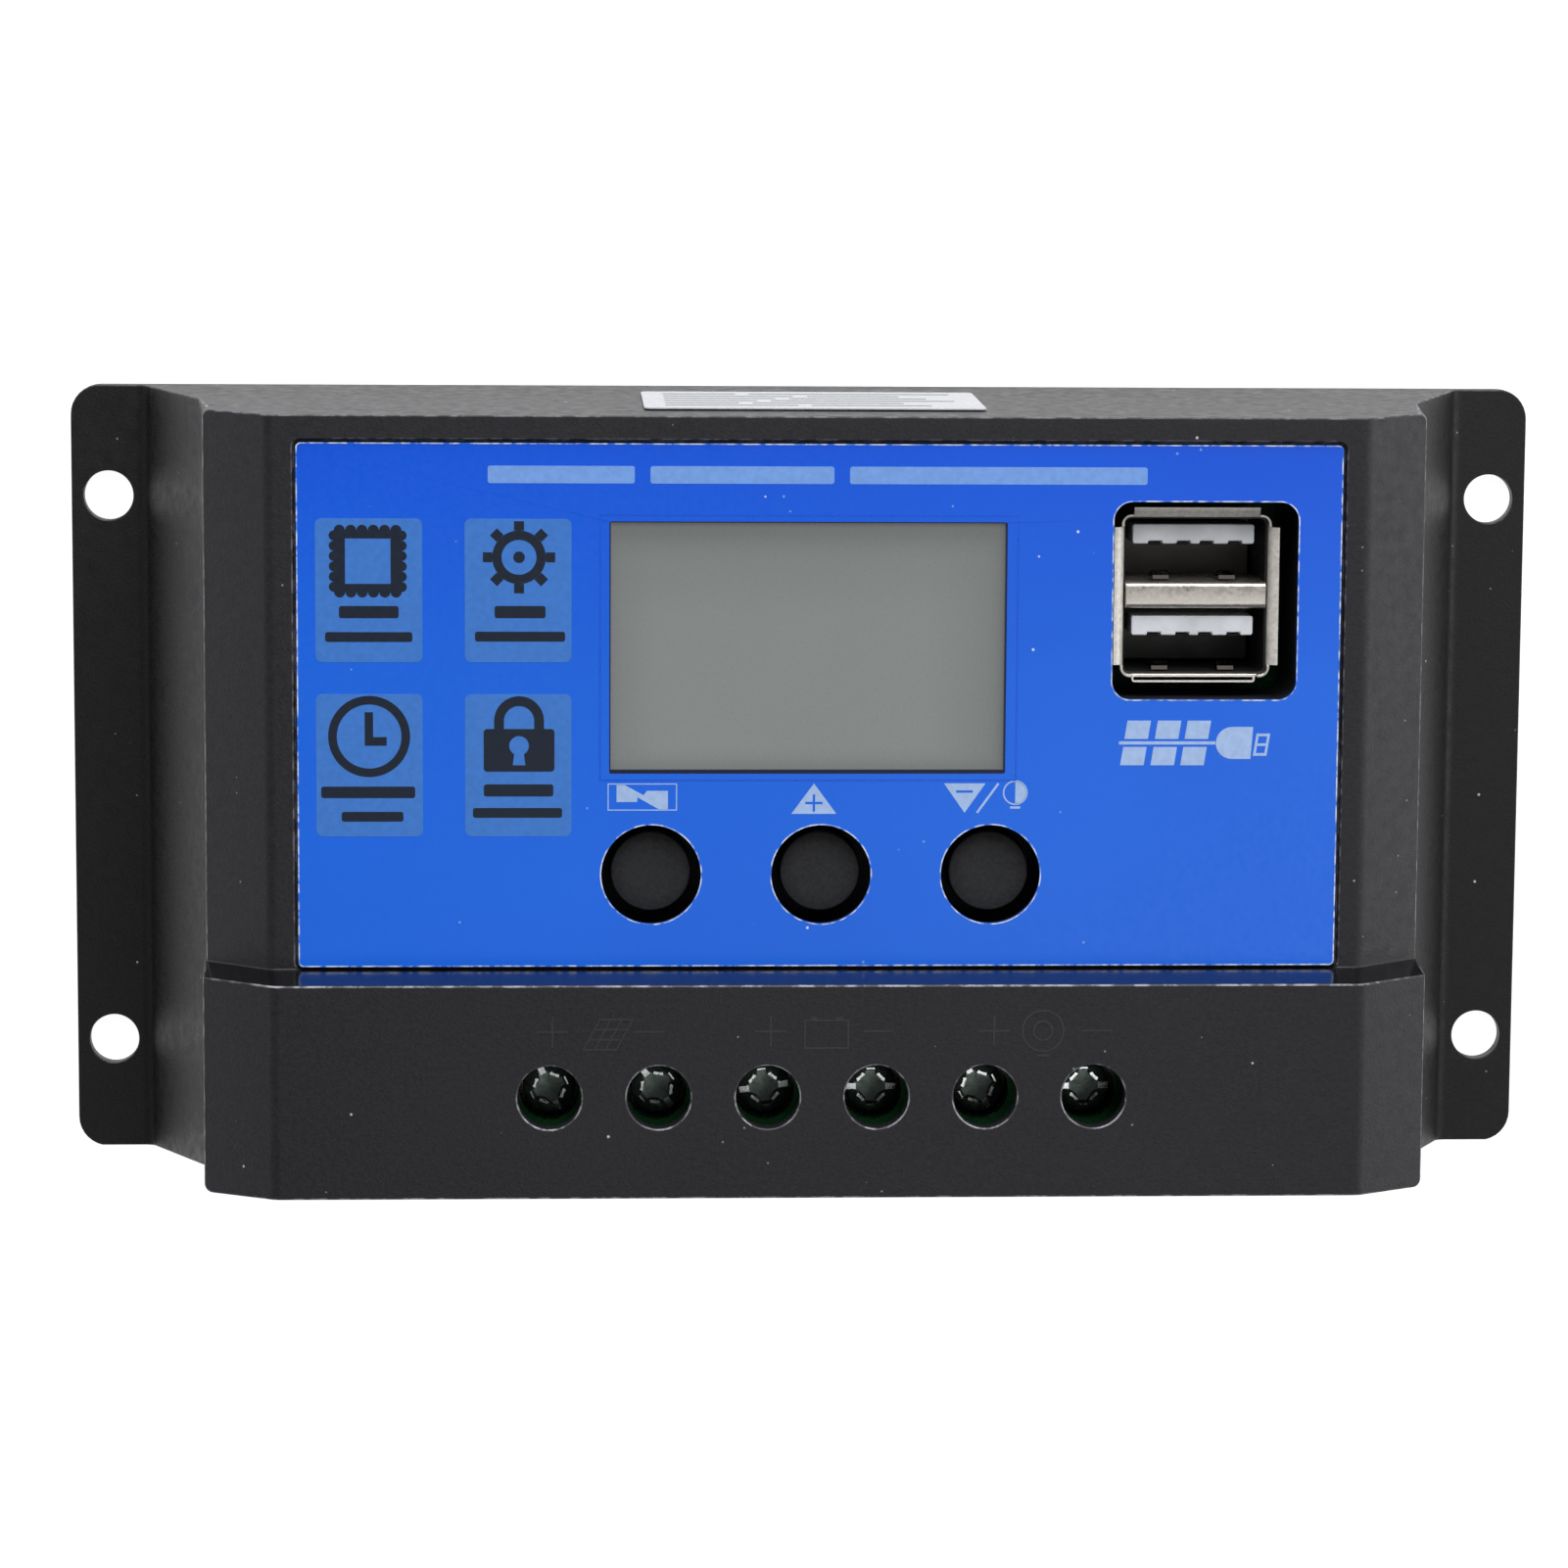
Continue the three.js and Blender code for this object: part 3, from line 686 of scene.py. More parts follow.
def piece(
    name, solid, material, slot, replaces=(), body="case", bevel=0.0, segments=3, sharp=35, limit=25
):
    """A finished piece: its mesh in metres, its material, its bevel, and what it rides on."""
    obj = as_object(name, solid, MM)
    obj.data.materials.append(MATERIALS[material])
    obj.data.shade_smooth()
    obj.data.set_sharp_from_angle(angle=math.radians(sharp))
    if bevel:
        add_bevel(obj, bevel, segments, limit)
    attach(obj, body)
    if replaces:
        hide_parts(*replaces)
    return obj


def dress(node, material, bevel):
    """A CAD node that stays: its material, and a bevel on its edges."""
    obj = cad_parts[node]
    obj.data.materials.clear()
    obj.data.materials.append(MATERIALS[material])
    modifier = obj.modifiers.new("flat", "DECIMATE")
    modifier.decimate_type = "DISSOLVE"
    modifier.angle_limit = math.radians(1)
    add_bevel(obj, bevel, 2, 30)


# ---- front cover ----


def cover_section(level):
    """The cover's outline across Y: flange, flare, side, facet and flat, on both sides."""
    rim, foot, flare = (HALF_X, FLANGE), (FLANGE_FOOT_X, FLANGE), (FLARE_X, FLARE_Z)
    facet, shoulder = (FACET_X, level["facet_z"]), (level["flat_x"], level["z"])
    foot_arc = fillet(rim, foot, flare, FOOT_RADIUS)
    shoulder_arc = fillet(facet, shoulder, (0, level["z"]), SHOULDER_RADIUS)
    return mirrored([(HALF_X, 0), rim, *foot_arc, flare, facet, *shoulder_arc])


def hollow_section(level):
    """The hollow's outline, a wall's thickness inside the cover's."""
    slope = (FLANGE_FOOT_X - FLARE_X) / (FLARE_Z - FLANGE)
    mouth_x = FLANGE_FOOT_X + slope * FLANGE - WALL * math.hypot(1, slope)
    return mirrored(
        [
            (mouth_x, -PAST),
            (mouth_x, 0),
            (FLARE_X - WALL, FLARE_Z),
            (FACET_X - WALL, level["facet_z"] - WALL * 0.4),
            (level["flat_x"] - WALL * 0.45, level["z"] - WALL),
        ]
    )


def cover_skin(section, inset):
    """A skin over both levels, with its ends and its step set in from the cover's."""
    lower = section(TERMINAL_LEVEL)
    upper = section(DISPLAY_LEVEL)
    return loft(
        [
            [(x, bottom_end_y(z) + inset, z) for x, z in lower],
            [(x, STEP_TOP_Y - inset, z) for x, z in lower],
            [(x, STEP_BASE_Y - inset, z) for x, z in upper],
            [(x, top_end_y(z) - inset, z) for x, z in upper],
        ]
    )


def cover_pillars():
    """Round bosses for the screws of the back plate, posts for those of the board, and bores."""
    board_top = box_mm("circuit_board")[1].z
    kinds = (
        ("back_screw", box_mm("back_plate")[1].z + GAP, 3.2, (0, 14)),
        ("board_screw", board_top + GAP, 2.3, (board_top - PAST, 22)),
    )
    pillars, pilots = Solid(), Solid()
    for number in range(1, 5):
        for kind, foot_z, radius, depth in kinds:
            at = middle_mm(f"{kind}_{number}")
            pillars += rod(*at, foot_z, CASE_TOP, radius, 32)
            pilots += rod(*at, *depth, PILOT_RADIUS, 24)
    return pillars, pilots


def usb_collar():
    """The wall under the cover that keeps dust out around the USB sockets."""
    return prism(grown(USB_CUT, WALL, 2.4, 8), 19, CASE_TOP)


def wire_mouth(x):
    """Where a wire goes in through the bottom end wall."""
    z0, z1 = WIRE_ENTRY["z0"], WIRE_ENTRY["z1"]
    mouth = prism(rectangle(0, 0, WIRE_ENTRY["width"], z1 - z0, 0.6), -3 * WALL, 3 * WALL)
    return mouth.turned("X", 90).moved(x, -HALF_Y, (z1 + z0) / 2)


def cover_openings():
    """The recess for the film, and all the holes."""
    roof = (DISPLAY_LEVEL["z"] - 2 * WALL, DISPLAY_LEVEL["z"] + PAST)
    through = [
        prism(rectangle(*WINDOW_CUT, 0.5), *roof),
        prism(rectangle(*USB_CUT, USB_CUT_RADIUS, 10), 18, roof[1]),
    ]
    through += [rod(*at, *roof, BUTTON_HOLE_RADIUS, 72) for at in BUTTONS]
    well = (CASE_TOP - 2 * WALL, CASE_TOP + PAST)
    for x, _ in POLES:
        through.append(rod(x, ACCESS_Y, *well, ACCESS_RADIUS, 56))
        through.append(wire_mouth(x))
    for x in (-HOLE_X, HOLE_X):
        for y in (-HOLE_Y, HOLE_Y):
            through.append(rod(x, y, -PAST, FLANGE + PAST, HOLE_RADIUS, 48))
    return prism(grown(FILM, 2 * FILM_GAP, 0.7), RECESS_FLOOR, roof[1]), joined(through)


def is_on_step(face):
    """The polished wall between the two levels, painted darker as shade."""
    return face.normal.y > 0.5 and STEP_TOP_Y < face.center.y / MM < STEP_BASE_Y


def is_on_end_corner(point):
    """The upright corners between the sides and the two end walls."""
    off_ends = min(abs(point.y - top_end_y(point.z)), abs(point.y - bottom_end_y(point.z)))
    highest = TERMINAL_LEVEL["facet_z"] + 0.1
    on_side = FLANGE + 1 < point.z < highest and abs(point.x) > FACET_X - 0.1
    return on_side and off_ends < 0.02


def round_end_corners(shell):
    mesh = shell.data
    weights = mesh.attributes.new("bevel_weight_edge", "FLOAT", "EDGE")
    for edge in mesh.edges:
        if all(is_on_end_corner(mesh.vertices[i].co / MM) for i in edge.vertices):
            weights.data[edge.index].value = 1.0
    modifier = shell.modifiers.new("corners", "BEVEL")
    modifier.width = END_CORNER_RADIUS * MM
    modifier.segments = 5
    modifier.limit_method = "WEIGHT"


def make_cover():
    pillars, pilots = cover_pillars()
    hollow = cut(cover_skin(hollow_section, WALL), pillars, usb_collar())
    plan = prism(rectangle(0, 0, 2 * HALF_X, 2 * HALF_Y, FLANGE_CORNER, 8), -PAST, CASE_TOP + PAST)
    outside = combined(cover_skin(cover_section, 0), [plan], "INTERSECT")
    body = cut(outside, hollow, *cover_openings(), pilots)
    look = ("cover_plastic", "cover_plastic")
    shell = piece("cover_shell", body, *look, ["front_cover"], bevel=0.14, limit=18)
    # Slot 1 holds cover_edge for the bevel faces, with its painted glints and crease shade; slot 2
    # holds the step wall's painted shade.
    edge_glint_index, step_index = 1, 2
    for name in ("cover_edge", "shaded_polished_plastic"):
        shell.data.materials.append(MATERIALS[name])
    for face in shell.data.polygons:
        if is_on_step(face):
            face.material_index = step_index
    edges = shell.modifiers["edges"]
    edges.material = edge_glint_index
    edges.use_clamp_overlap = False
    shell.modifiers.new("weld", "WELD").merge_threshold = 0.02 * MM
    round_end_corners(shell)
    for place, name in enumerate(("weld", "corners", "edges")):
        shell.modifiers.move(shell.modifiers.find(name), place)


# ---- printed film ----


def film_holes(rim=0.0):
    """The film's own holes, a little smaller than those of the cover, or rings round them."""
    holes = [grown(USB_FILM_HOLE, 2 * rim, USB_CUT_RADIUS + rim, 10)]
    holes += [circle(*at, BUTTON_HOLE_RADIUS - 0.13 + rim, 72) for at in BUTTONS]
    return holes


def print_piece(name, solids, material):
    piece(name, joined(solids), material, "overlay_film")


def make_film():
    outline = rectangle(*FILM, 0.45)
    window = rectangle(*WINDOW, 0.15)
    film = plate(outline, [window, *film_holes()], FILM_FOOT, FILM_TOP)
    piece("overlay_print", film, "film_blue", "overlay_film", ["label_overlay"], bevel=0.07)
    pane_top = FILM_TOP - 0.02
    pane = prism(grown(WINDOW, -0.02, 0.14), FILM_FOOT, pane_top)
    piece("display_window", pane, "clear_pane", "overlay_film", bevel=0.03)
    border = plate(rectangle(*WINDOW_BORDER, 0.1), [grown(WINDOW_BORDER, -0.3)], *INK)
    print_piece("display_border", [border], "film_frame")
    make_film_rims(outline)
    make_window_shadow_line(window, pane_top)


def make_film_rims(outline):
    """The pale cut edges of the film, round its outside and round its holes."""
    rim = 0.11
    rims = [plate(outline, [grown(FILM, -2 * rim, 0.35)], *INK)]
    rims += [plate(outer, [hole], *INK) for outer, hole in zip(film_holes(rim), film_holes())]
    print_piece("film_rims", rims, "film_edge")


def make_window_shadow_line(window, pane_top):
    """A painted shadow line round the display, where the film's thickness shows in shade, widest at
    the foot.
    """
    left, right, bottom, top = window_sides()
    x0, x1, y0, y1 = left + 0.09, right - 0.16, bottom + 0.34, top - 0.06
    opening = rectangle((x0 + x1) / 2, (y0 + y1) / 2, x1 - x0, y1 - y0)
    print_piece("window_shadow_line", [plate(window, [opening], pane_top, INK[1])], "window_shadow_line")


def ink_bar(x0, x1, y, height, layer):
    """A plain bar that stands for a printed word."""
    radius = min(0.2, height * 0.3)
    return prism(rectangle((x0 + x1) / 2, y, x1 - x0, height, radius, 3), *layer)


def ring(outer, inner, layer, sides=48):
    return plate(circle(0, 0, outer, sides), [circle(0, 0, inner, sides)], *layer)


def make_tiles():
    size = (TILES["width"], TILES["height"], 0.55)
    tiles = [prism(rectangle(x, y, *size), *INK) for x in TILES["x"] for y in TILES["y"]]
    print_piece("print_tiles", tiles, "ink_tile")


def scalloped(half_width, half_height, bumps):
    """A rectangle whose sides are rows of half-round bumps."""
    outline = []
    for side in range(4):
        out, along = (half_height, half_width) if side % 2 else (half_width, half_height)
        radius = along / bumps
        turn = Matrix.Rotation(math.radians(90 * side), 2)
        for bump in range(bumps):
            offset = radius * (2 * bump + 1) - along
            for point in arc(out, offset, radius, -90, 90, 6)[:-1]:
                outline.append(tuple(turn @ Vector(point)))
    return outline


def chip_icon():
    """A chip seen from above, with round pins that stand out all round it."""
    return plate(scalloped(2.9, 2.65, 6), [rectangle(0, 0, 3.9, 3.9)], *INK_OVER)


def gear_icon():
    tooth = block(2.3, 3.1, -0.425, 0.425, *INK_OVER)
    teeth = [tooth.turned("Z", 45 * number) for number in range(8)]
    return joined([ring(2.3, 1.5, INK_OVER), prism(circle(0, 0, 0.5, 24), *INK_OVER), *teeth])


def clock_icon():
    hands = [(-0.38, -0.8), (1.5, -0.8), (1.5, -0.05), (0.34, -0.05), (0.34, 2.1), (-0.38, 2.1)]
    return ring(3.52, 2.78, INK_OVER, 64) + prism(hands, *INK_OVER)


def padlock_icon():
    """A shackle over a body with a keyhole."""
    outer, inner = [[(r, 0.1), *arc(0, 0.8, r, 0, 180, 20), (-r, 0.1)] for r in (2.15, 1.3)]
    keyhole = [*arc(0, -1.35, 0.85, -60, 240, 16), (-0.55, -3.05), (0.55, -3.05)]
    body = plate(rectangle(0, -1.75, 6.1, 3.7, 0.3), [keyhole], *INK_OVER)
    return prism(outer + inner[::-1], *INK_OVER) + body


def make_icons():
    """The four tiles' symbols, and plain bars for their captions: (x0, x1, y, height)."""
    solids = [
        chip_icon().moved(-38.87, 21.38),
        gear_icon().moved(-25.92, 21.74),
        clock_icon().moved(-38.82, 6.25),
        padlock_icon().moved(-25.93, 6.8),
    ]
    captions = [
        (-41.36, -36.25, 17.0, 1.05),
        (-42.55, -35.08, 14.85, 0.85),
        (-28.02, -23.65, 17.02, 1.05),
        (-29.71, -21.97, 14.9, 0.85),
        (-42.96, -34.88, 1.4, 1.0),
        (-41.21, -35.9, -0.72, 0.85),
        (-28.97, -22.98, 1.57, 1.05),
        (-29.91, -22.22, -0.39, 0.85),
    ]
    solids += [ink_bar(*caption, INK_OVER) for caption in captions]
    print_piece("print_icons", solids, "ink_dark")


def zigzag_icon():
    """A frame with a zigzag across it."""
    up = [(-2.23, -0.43), (-0.46, -0.43), (-0.41, -0.03), (1.42, -1.06), (2.21, -1.06)]
    down = [(2.21, 0.54), (0.39, 0.54), (0.11, 0.16), (-1.54, 1.05), (-2.23, 1.05)]
    border = plate(rectangle(0, 0, 6.0, 2.36), [rectangle(0, 0, 5.82, 2.18)], *INK)
    return border + prism(up + down, *INK)


def bulb_icon():
    half_disc = [*arc(0, 0, 0.98, -90, 90, 14), (0, 0)]
    foot = rectangle(0, -1.3, 0.9, 0.2, 0.08)
    return joined([ring(1.08, 0.95, INK), prism(half_disc, *INK), prism(foot, *INK)])


def plug_icon():
    """A lead that runs over three pairs of plain blocks into a plug with an open mouth."""
    solids = []
    for x in (-2.65, 0, 2.6):
        for y in (1.15, -1.15):
            solids.append(prism(slanted_block(x + 0.15 * y, y, 2.05, 1.6, 0.25), *INK))
    solids.append(prism(rectangle(0.1, 0, 8.4, 0.28), *INK))
    solids.append(prism([(7.4, -1.4), (7.6, 1.4), *arc(5.75, 0, 1.4, 90, 270, 12)], *INK))
    x, y = 8.35, -0.15
    windows = [slanted_block(x + 0.06 * up, y + 0.42 * up, 0.75, 0.62, 0.1) for up in (-1, 1)]
    solids.append(plate(slanted_block(x, y, 1.2, 1.95, 0.3), windows, *INK))
    return joined(solids)


def make_pale_print():
    """Plain bars for the title, and the row of small symbols under the window."""
    title = [(-28.6, -16.0), (-14.65, 1.15), (2.5, 28.2)]
    print_piece("print_title", [ink_bar(x0, x1, 28.85, 1.5, INK) for x0, x1 in title], "ink_title")
    plus = plus_outline(-0.43, 0.45, 1.5, 0.22)
    minus = rectangle(12.65, 1.45, 1.45, 0.22)
    solids = [
        zigzag_icon().moved(-15.29, 0.98),
        plate(triangle(-0.43, 0.83, 3.92, 2.65), [plus], *INK),
        plate(triangle(12.67, 0.88, 3.61, -2.57), [minus], *INK),
        block(0, 3.167, -0.1, 0.1, *INK).turned("Z", 54.25).moved(13.75, -0.41),
        bulb_icon().moved(17.07, 1.35),
        plug_icon().moved(30.15, 5.7),
    ]
    print_piece("print_pale", solids, "ink_pale")


# ---- display and buttons ----


def make_display():
    node = "display_glass"
    low, high = box_mm(node)
    glass = prism(rectangle(*plan_mm(node), 0.3), low.z, high.z)
    piece("display_panel", glass, "display_grey", "display_glass", [node], bevel=0.15)


def make_button(number):
    """A round cap with a turned edge, over a wider skirt that hides the gap round it."""
    node = f"button_cap_{number}"
    low, high = box_mm(node)
    radius = (high.x - low.x) / 2
    edge, skirt = 0.2, 1.6
    profile = [
        (1.5, low.z),
        (radius + skirt - 0.1, low.z + 0.2),
        (radius + skirt, low.z + 1.0),
        (radius + 0.12, low.z + 1.3),
        (radius + 0.1, low.z + 1.6),
        *arc(radius - edge, high.z - edge, edge, 0, 78, 5),
        (radius * 0.6, high.z),
        (0.3, high.z),
    ]
    cap = lathe(profile, 72).moved(*BUTTONS[number - 1])
    names = ("button_plastic", "button_plastic", [node], f"button_{number}")
    piece(f"button_top_{number}", cap, *names, sharp=30)


# ---- terminals ----


def cross_recess(rings):
    """A cross recess: four arms with hollow curves between them. Its rings are (scale, z)."""
    hollow = arc(CROSS_HOLLOW, CROSS_HOLLOW, 1.3, 262, 188, 8)
    outline = four_times(hollow)
    return loft([[(x * scale, y * scale, z) for x, y in outline] for scale, z in rings])


def screw_blank(low_z, under, top):
    """A threaded shank up to the underside of the head, and the head's dome."""
    root = SHANK_RADIUS - THREAD_DEPTH
    profile = [(root - 0.25, low_z)]
    for turn in range(int((under - low_z) / THREAD_PITCH)):
        z = low_z + THREAD_PITCH * turn
        crest = [(SHANK_RADIUS, z + 0.35), (SHANK_RADIUS, z + 0.4)]
        profile += [(root, z + 0.1), *crest, (root, z + 0.65)]
    profile += [(root, under), (HEAD_RADIUS - 0.15, under), (HEAD_RADIUS, under + 0.15)]
    for a in angles(8, 84, 11):
        profile.append((HEAD_RADIUS * math.cos(a), top - HEAD_RISE * (1 - math.sin(a))))
    return lathe(profile)


def make_terminal_screw(number):
    """A pan-head clamp screw with a cross recess and a slot."""
    node, body = f"terminal_screw_{number}", f"screw_{number}"
    low, high = box_mm(node)
    top, reach = high.z, HEAD_RADIUS + PAST
    at = POLES[number - 1]
    angle = SLOT_ANGLES[number - 1]
    depths = [(0.2, top - 1.0), (0.88, top - 0.92), (0.98, top - 0.4), (1.0, top + PAST)]
    recess = cross_recess(depths)
    slot = block(-reach, reach, -SLOT_WIDTH / 2, SLOT_WIDTH / 2, top - SLOT_DEPTH, top + PAST)
    blank = screw_blank(low.z, chamber_ceiling(number) + GAP, top)
    solids = [blank, recess.turned("Z", angle), slot.turned("Z", angle)]
    screw = cut(*[solid.moved(*at) for solid in solids])
    look = ("clamp_screw_steel", "zinc_steel")
    piece(f"clamp_screw_{number}", screw, *look, [node], body, 0.1, limit=30)
    # Bright strips for wear and painted glints on the head's recess and slot.
    wear_and_glints = screw_wear_and_glints().turned("Z", angle).moved(*at, top)
    piece(f"screw_wear_and_glints_{number}", wear_and_glints, "glint_and_wear_zinc", "zinc_steel", body=body)


def dome_drop(*point):
    """How far the head's surface lies below its top."""
    share = min(1.0, math.hypot(*point) / HEAD_RADIUS)
    return HEAD_RISE * (1 - math.sqrt(1 - share * share))


def screw_wear_and_glints():
    """Bright plating on the recess's rims and the slot's floor: wear from drivers, and painted
    glints.
    """
    skin = 0.02
    at = (CROSS_HOLLOW, CROSS_HOLLOW)
    lobe_top = skin - dome_drop(0.9, 0.9)
    crescent = [*arc(*at, 1.33, 245, 205, 6), *arc(*at, 1.06, 205, 245, 6)]
    lobe = prism(crescent, lobe_top - 0.3, lobe_top)
    solids = [lobe.turned("Z", 90 * quarter) for quarter in range(4)]
    end_y = 1.62
    end_top = -dome_drop(0, end_y)
    for side in (-1, 1):
        floor = rectangle(side * 1.72, 0, 0.86, 0.54)
        solids.append(prism(floor, -SLOT_DEPTH, 0.03 - SLOT_DEPTH))
        solids.append(prism(rectangle(0, side * end_y, 0.72, 0.14), end_top - 0.1, end_top + skin))
    return joined(solids)


def panel_cell(column, row, line):
    """One opening of the solar panel's slanted grid."""
    pitch_x, pitch_y = (PANEL["width"] - line) / 3, (PANEL["height"] - line) / 3
    slope = PANEL["lean"] / PANEL["height"]
    height = pitch_y - line
    x = (column - 1) * pitch_x + (row - 1) * pitch_y * slope
    return slanted_block(x, (row - 1) * pitch_y, pitch_x - line, height, height * slope)


def make_terminal_symbols():
    """Faint moulded symbols above the screws: a panel, a battery and a lamp, with their poles."""
    line = 0.17
    relief = (TERMINAL_LEVEL["z"] - 0.05, CASE_TOP)
    solids = [prism(plus_outline(x, 0, 2.7, line), *relief) for x in (-23.07, -4.3, 14.98)]
    solids += [prism(rectangle(x, 0, 2.7, line), *relief) for x in (-14.75, 5.0, 23.9)]
    cells = [panel_cell(column, row, line) for column in range(3) for row in range(3)]
    solids.append(plate(slanted_block(0, 0, *PANEL.values()), cells, *relief).moved(-18.3, -0.25))
    inside = rectangle(0, 0, 3.9 - 2 * line, 2.6 - 2 * line)
    solids.append(plate(rectangle(0, 0, 3.9, 2.6), [inside], *relief).moved(0.52, -0.25))
    solids += [prism(rectangle(0.52 + side * 1.1, 1.15, 0.7, 0.2), *relief) for side in (-1, 1)]
    lamp = ring(1.86, 1.86 - line, relief) + ring(0.9, 0.9 - line, relief, 32)
    solids.append((lamp + prism(rectangle(0, -2.15, 1.1, line), *relief)).moved(19.22))
    piece("terminal_symbols", joined(solids).moved(y=-18.7), "symbol_relief", "cover_plastic")


def make_terminal_block(number):
    """The moulded housing of two poles, with a screw well, a chamber and a wire mouth each."""
    node = f"terminal_block_{number}"
    low, high = box_mm(node)
    tools = []
    mouth = prism(rectangle(0, 0, 6, 7.6, 0.8), -WALL, WALL).turned("X", 90)
    for pole in (2 * number - 1, 2 * number):
        x, y = POLES[pole - 1]
        cage_z = box_mm(f"clamp_cage_{pole}")[0].z
        ceiling = chamber_ceiling(pole)
        chamber_y = (low.y + 1.4, high.y - 1.3)
        tools.append(block(x - 3.5, x + 3.5, *chamber_y, cage_z - GAP, ceiling))
        tools.append(rod(x, y, ceiling - PAST, high.z + PAST, HEAD_RADIUS + GAP, 56))
        tools.append(mouth.moved(x, low.y, WIRE_ENTRY["z0"] + 3.8))
        bar_low, bar_high = box_mm(f"contact_bar_{pole}")
        slit_y = (bar_high.y - 1.1, bar_high.y + GAP)
        tools.append(block(bar_low.x - GAP, bar_high.x + GAP, *slit_y, 0, low.z + 2))
    x, groove_y = (low.x + high.x) / 2, (low.y - PAST, low.y + 0.35)
    tools.append(block(x - 0.25, x + 0.25, *groove_y, low.z - PAST, high.z + PAST))
    housing = cut(block(low.x, high.x, low.y, high.y, low.z, high.z), *tools)
    name = f"terminal_housing_{number}"
    piece(name, housing, "terminal_green", "terminal_plastic", [node], bevel=0.25)


# ---- USB sockets ----


def usb_lip(length, outward, turn):
    """A sheet that curls outward from the mouth's wall, on the side that faces turn."""
    curl, start = 0.6, USB_MOUTH_Z - 0.5
    inner = [
        (-USB_SHEET + (USB_SHEET + curl) * (1 - math.cos(a)), start + 0.9 * math.sin(a))
        for a in angles(0, 90, 8)
    ]
    outer = [(curl * (1 - math.cos(a)), start + 0.55 * math.sin(a)) for a in angles(90, 0, 8)]
    outline = [(outward + out, z) for out, z in inner + outer]
    return along_x(outline, -length / 2, length / 2).turned("Z", turn).moved(USB_X, USB_Y)


def usb_hem():
    """The lower lip, folded back so that only the edges of the fold show."""
    x, y = USB_X - 0.1, USB_Y - USB_HEIGHT / 2 - 0.08
    inside = rectangle(x, y, 10.5, 0.34, 0.12)
    return plate(rectangle(x, y, 10.8, 0.64, 0.26), [inside], USB_MOUTH_Z - 0.6, USB_MOUTH_Z - 0.1)


def usb_shell():
    """The folded tube, notched where the lips leave it."""
    x, y, top = USB_X, USB_Y, USB_MOUTH_Z
    low_z = box_mm("usb_shell")[0].z
    outer = prism(rectangle(x, y, USB_WIDTH, USB_HEIGHT, 0.95), low_z, top)
    bore = prism(rectangle(*USB_INSIDE, 0.55), low_z - PAST, top + PAST)
    notch_z = (top - 0.5, top + PAST)
    notch_x = block(x - USB_WIDTH, x + USB_WIDTH, y - 6, y + 6, *notch_z)
    notch_y = block(x - 5.5, x + 5.5, y - USB_HEIGHT, y + USB_HEIGHT, *notch_z)
    return cut(outer, bore, notch_x, notch_y)


def usb_divider():
    """The folded bar between the two mouths."""
    middle_z, depth = (USB_MOUTH_Z + USB_FLOOR_Z) / 2, USB_MOUTH_Z - USB_FLOOR_Z
    y, height, half_length = USB_DIVIDER.values()
    section = rectangle(y, middle_z, height, depth, 0.45, 5)
    return along_x(section, USB_X - half_length, USB_X + half_length)


def spring_finger(x, y, width):
    """A bent contact finger standing off a mouth's lower wall."""
    path = [(0.1, 25.7), (0.5, 25.5), (0.85, 24.6), (0.3, 22.6)]
    path += [(0.15, 22.6), (0.65, 24.5), (0.4, 25.2), (0.1, 25.4)]
    return along_x([(y + out, z) for out, z in path], x - width / 2, x + width / 2)


def make_usb():
    piece("usb_tube", usb_shell(), "usb_tin", "usb_tin", ["usb_shell"], bevel=0.08, segments=2)
    lips = [usb_lip(12, USB_WIDTH / 2, turn) for turn in (-90, 90)]
    lips += [usb_lip(11, USB_HEIGHT / 2, 0), usb_hem()]
    piece("usb_lips", joined(lips), "lip_tin", "usb_tin", bevel=0.05, segments=2)
    piece("usb_divider", usb_divider(), "usb_tin", "usb_tin", bevel=0.08, segments=2)
    fingers = [spring_finger(USB_X + dx, y, 1.5) for y in USB_MOUTH_FEET for dx in (-2.9, 2.9)]
    piece("usb_springs", joined(fingers), "shade_dark_tin", "usb_tin", bevel=0.06, segments=2)
    # A black sheet inside the tube: painted shade over the tin walls that lie in the dark.
    hollow = grown(USB_INSIDE, -0.3, 0.5)
    shade_lining = plate(rectangle(*USB_INSIDE, 0.6), [hollow], USB_FLOOR_Z, USB_MOUTH_Z - 0.9)
    piece("usb_shade_lining", shade_lining, "black_resin", "white_resin")
    make_usb_insides()


def make_usb_insides():
    """The sockets' floor, and a tongue in each with its row of contacts."""
    low, high = box_mm("usb_insulator")
    # The floor takes the white resin darkened as painted shade.
    base = prism(rectangle(*plan_mm("usb_insulator"), 0.3), low.z, USB_FLOOR_Z)
    piece("usb_base", base, "shaded_socket_floor", "white_resin", ["usb_insulator"], bevel=0.1)
    tongues = []
    contacts = []
    root_z = USB_FLOOR_Z - PAST
    for y in USB_TONGUES_Y:
        body = prism(rectangle(USB_X - 0.15, y, 10.65, 1.7, 0.2, 4), root_z, high.z)
        slots = []
        for dx in USB_CONTACTS_X:
            x = USB_X + dx
            slots.append(block(x - 0.6, x + 0.6, y - 1, y - 0.6, high.z - 1.4, high.z + PAST))
            contacts.append(block(x - 0.5, x + 0.5, y - 0.97, y - 0.7, root_z, high.z - 0.5))
        tongues.append(cut(body, *slots))
    piece("usb_tongues", joined(tongues), "white_resin", "white_resin", bevel=0.12)
    piece("usb_contacts", joined(contacts), "shade_dark_tin", "tinned_brass", bevel=0.05, segments=2)


# ---- sticker ----


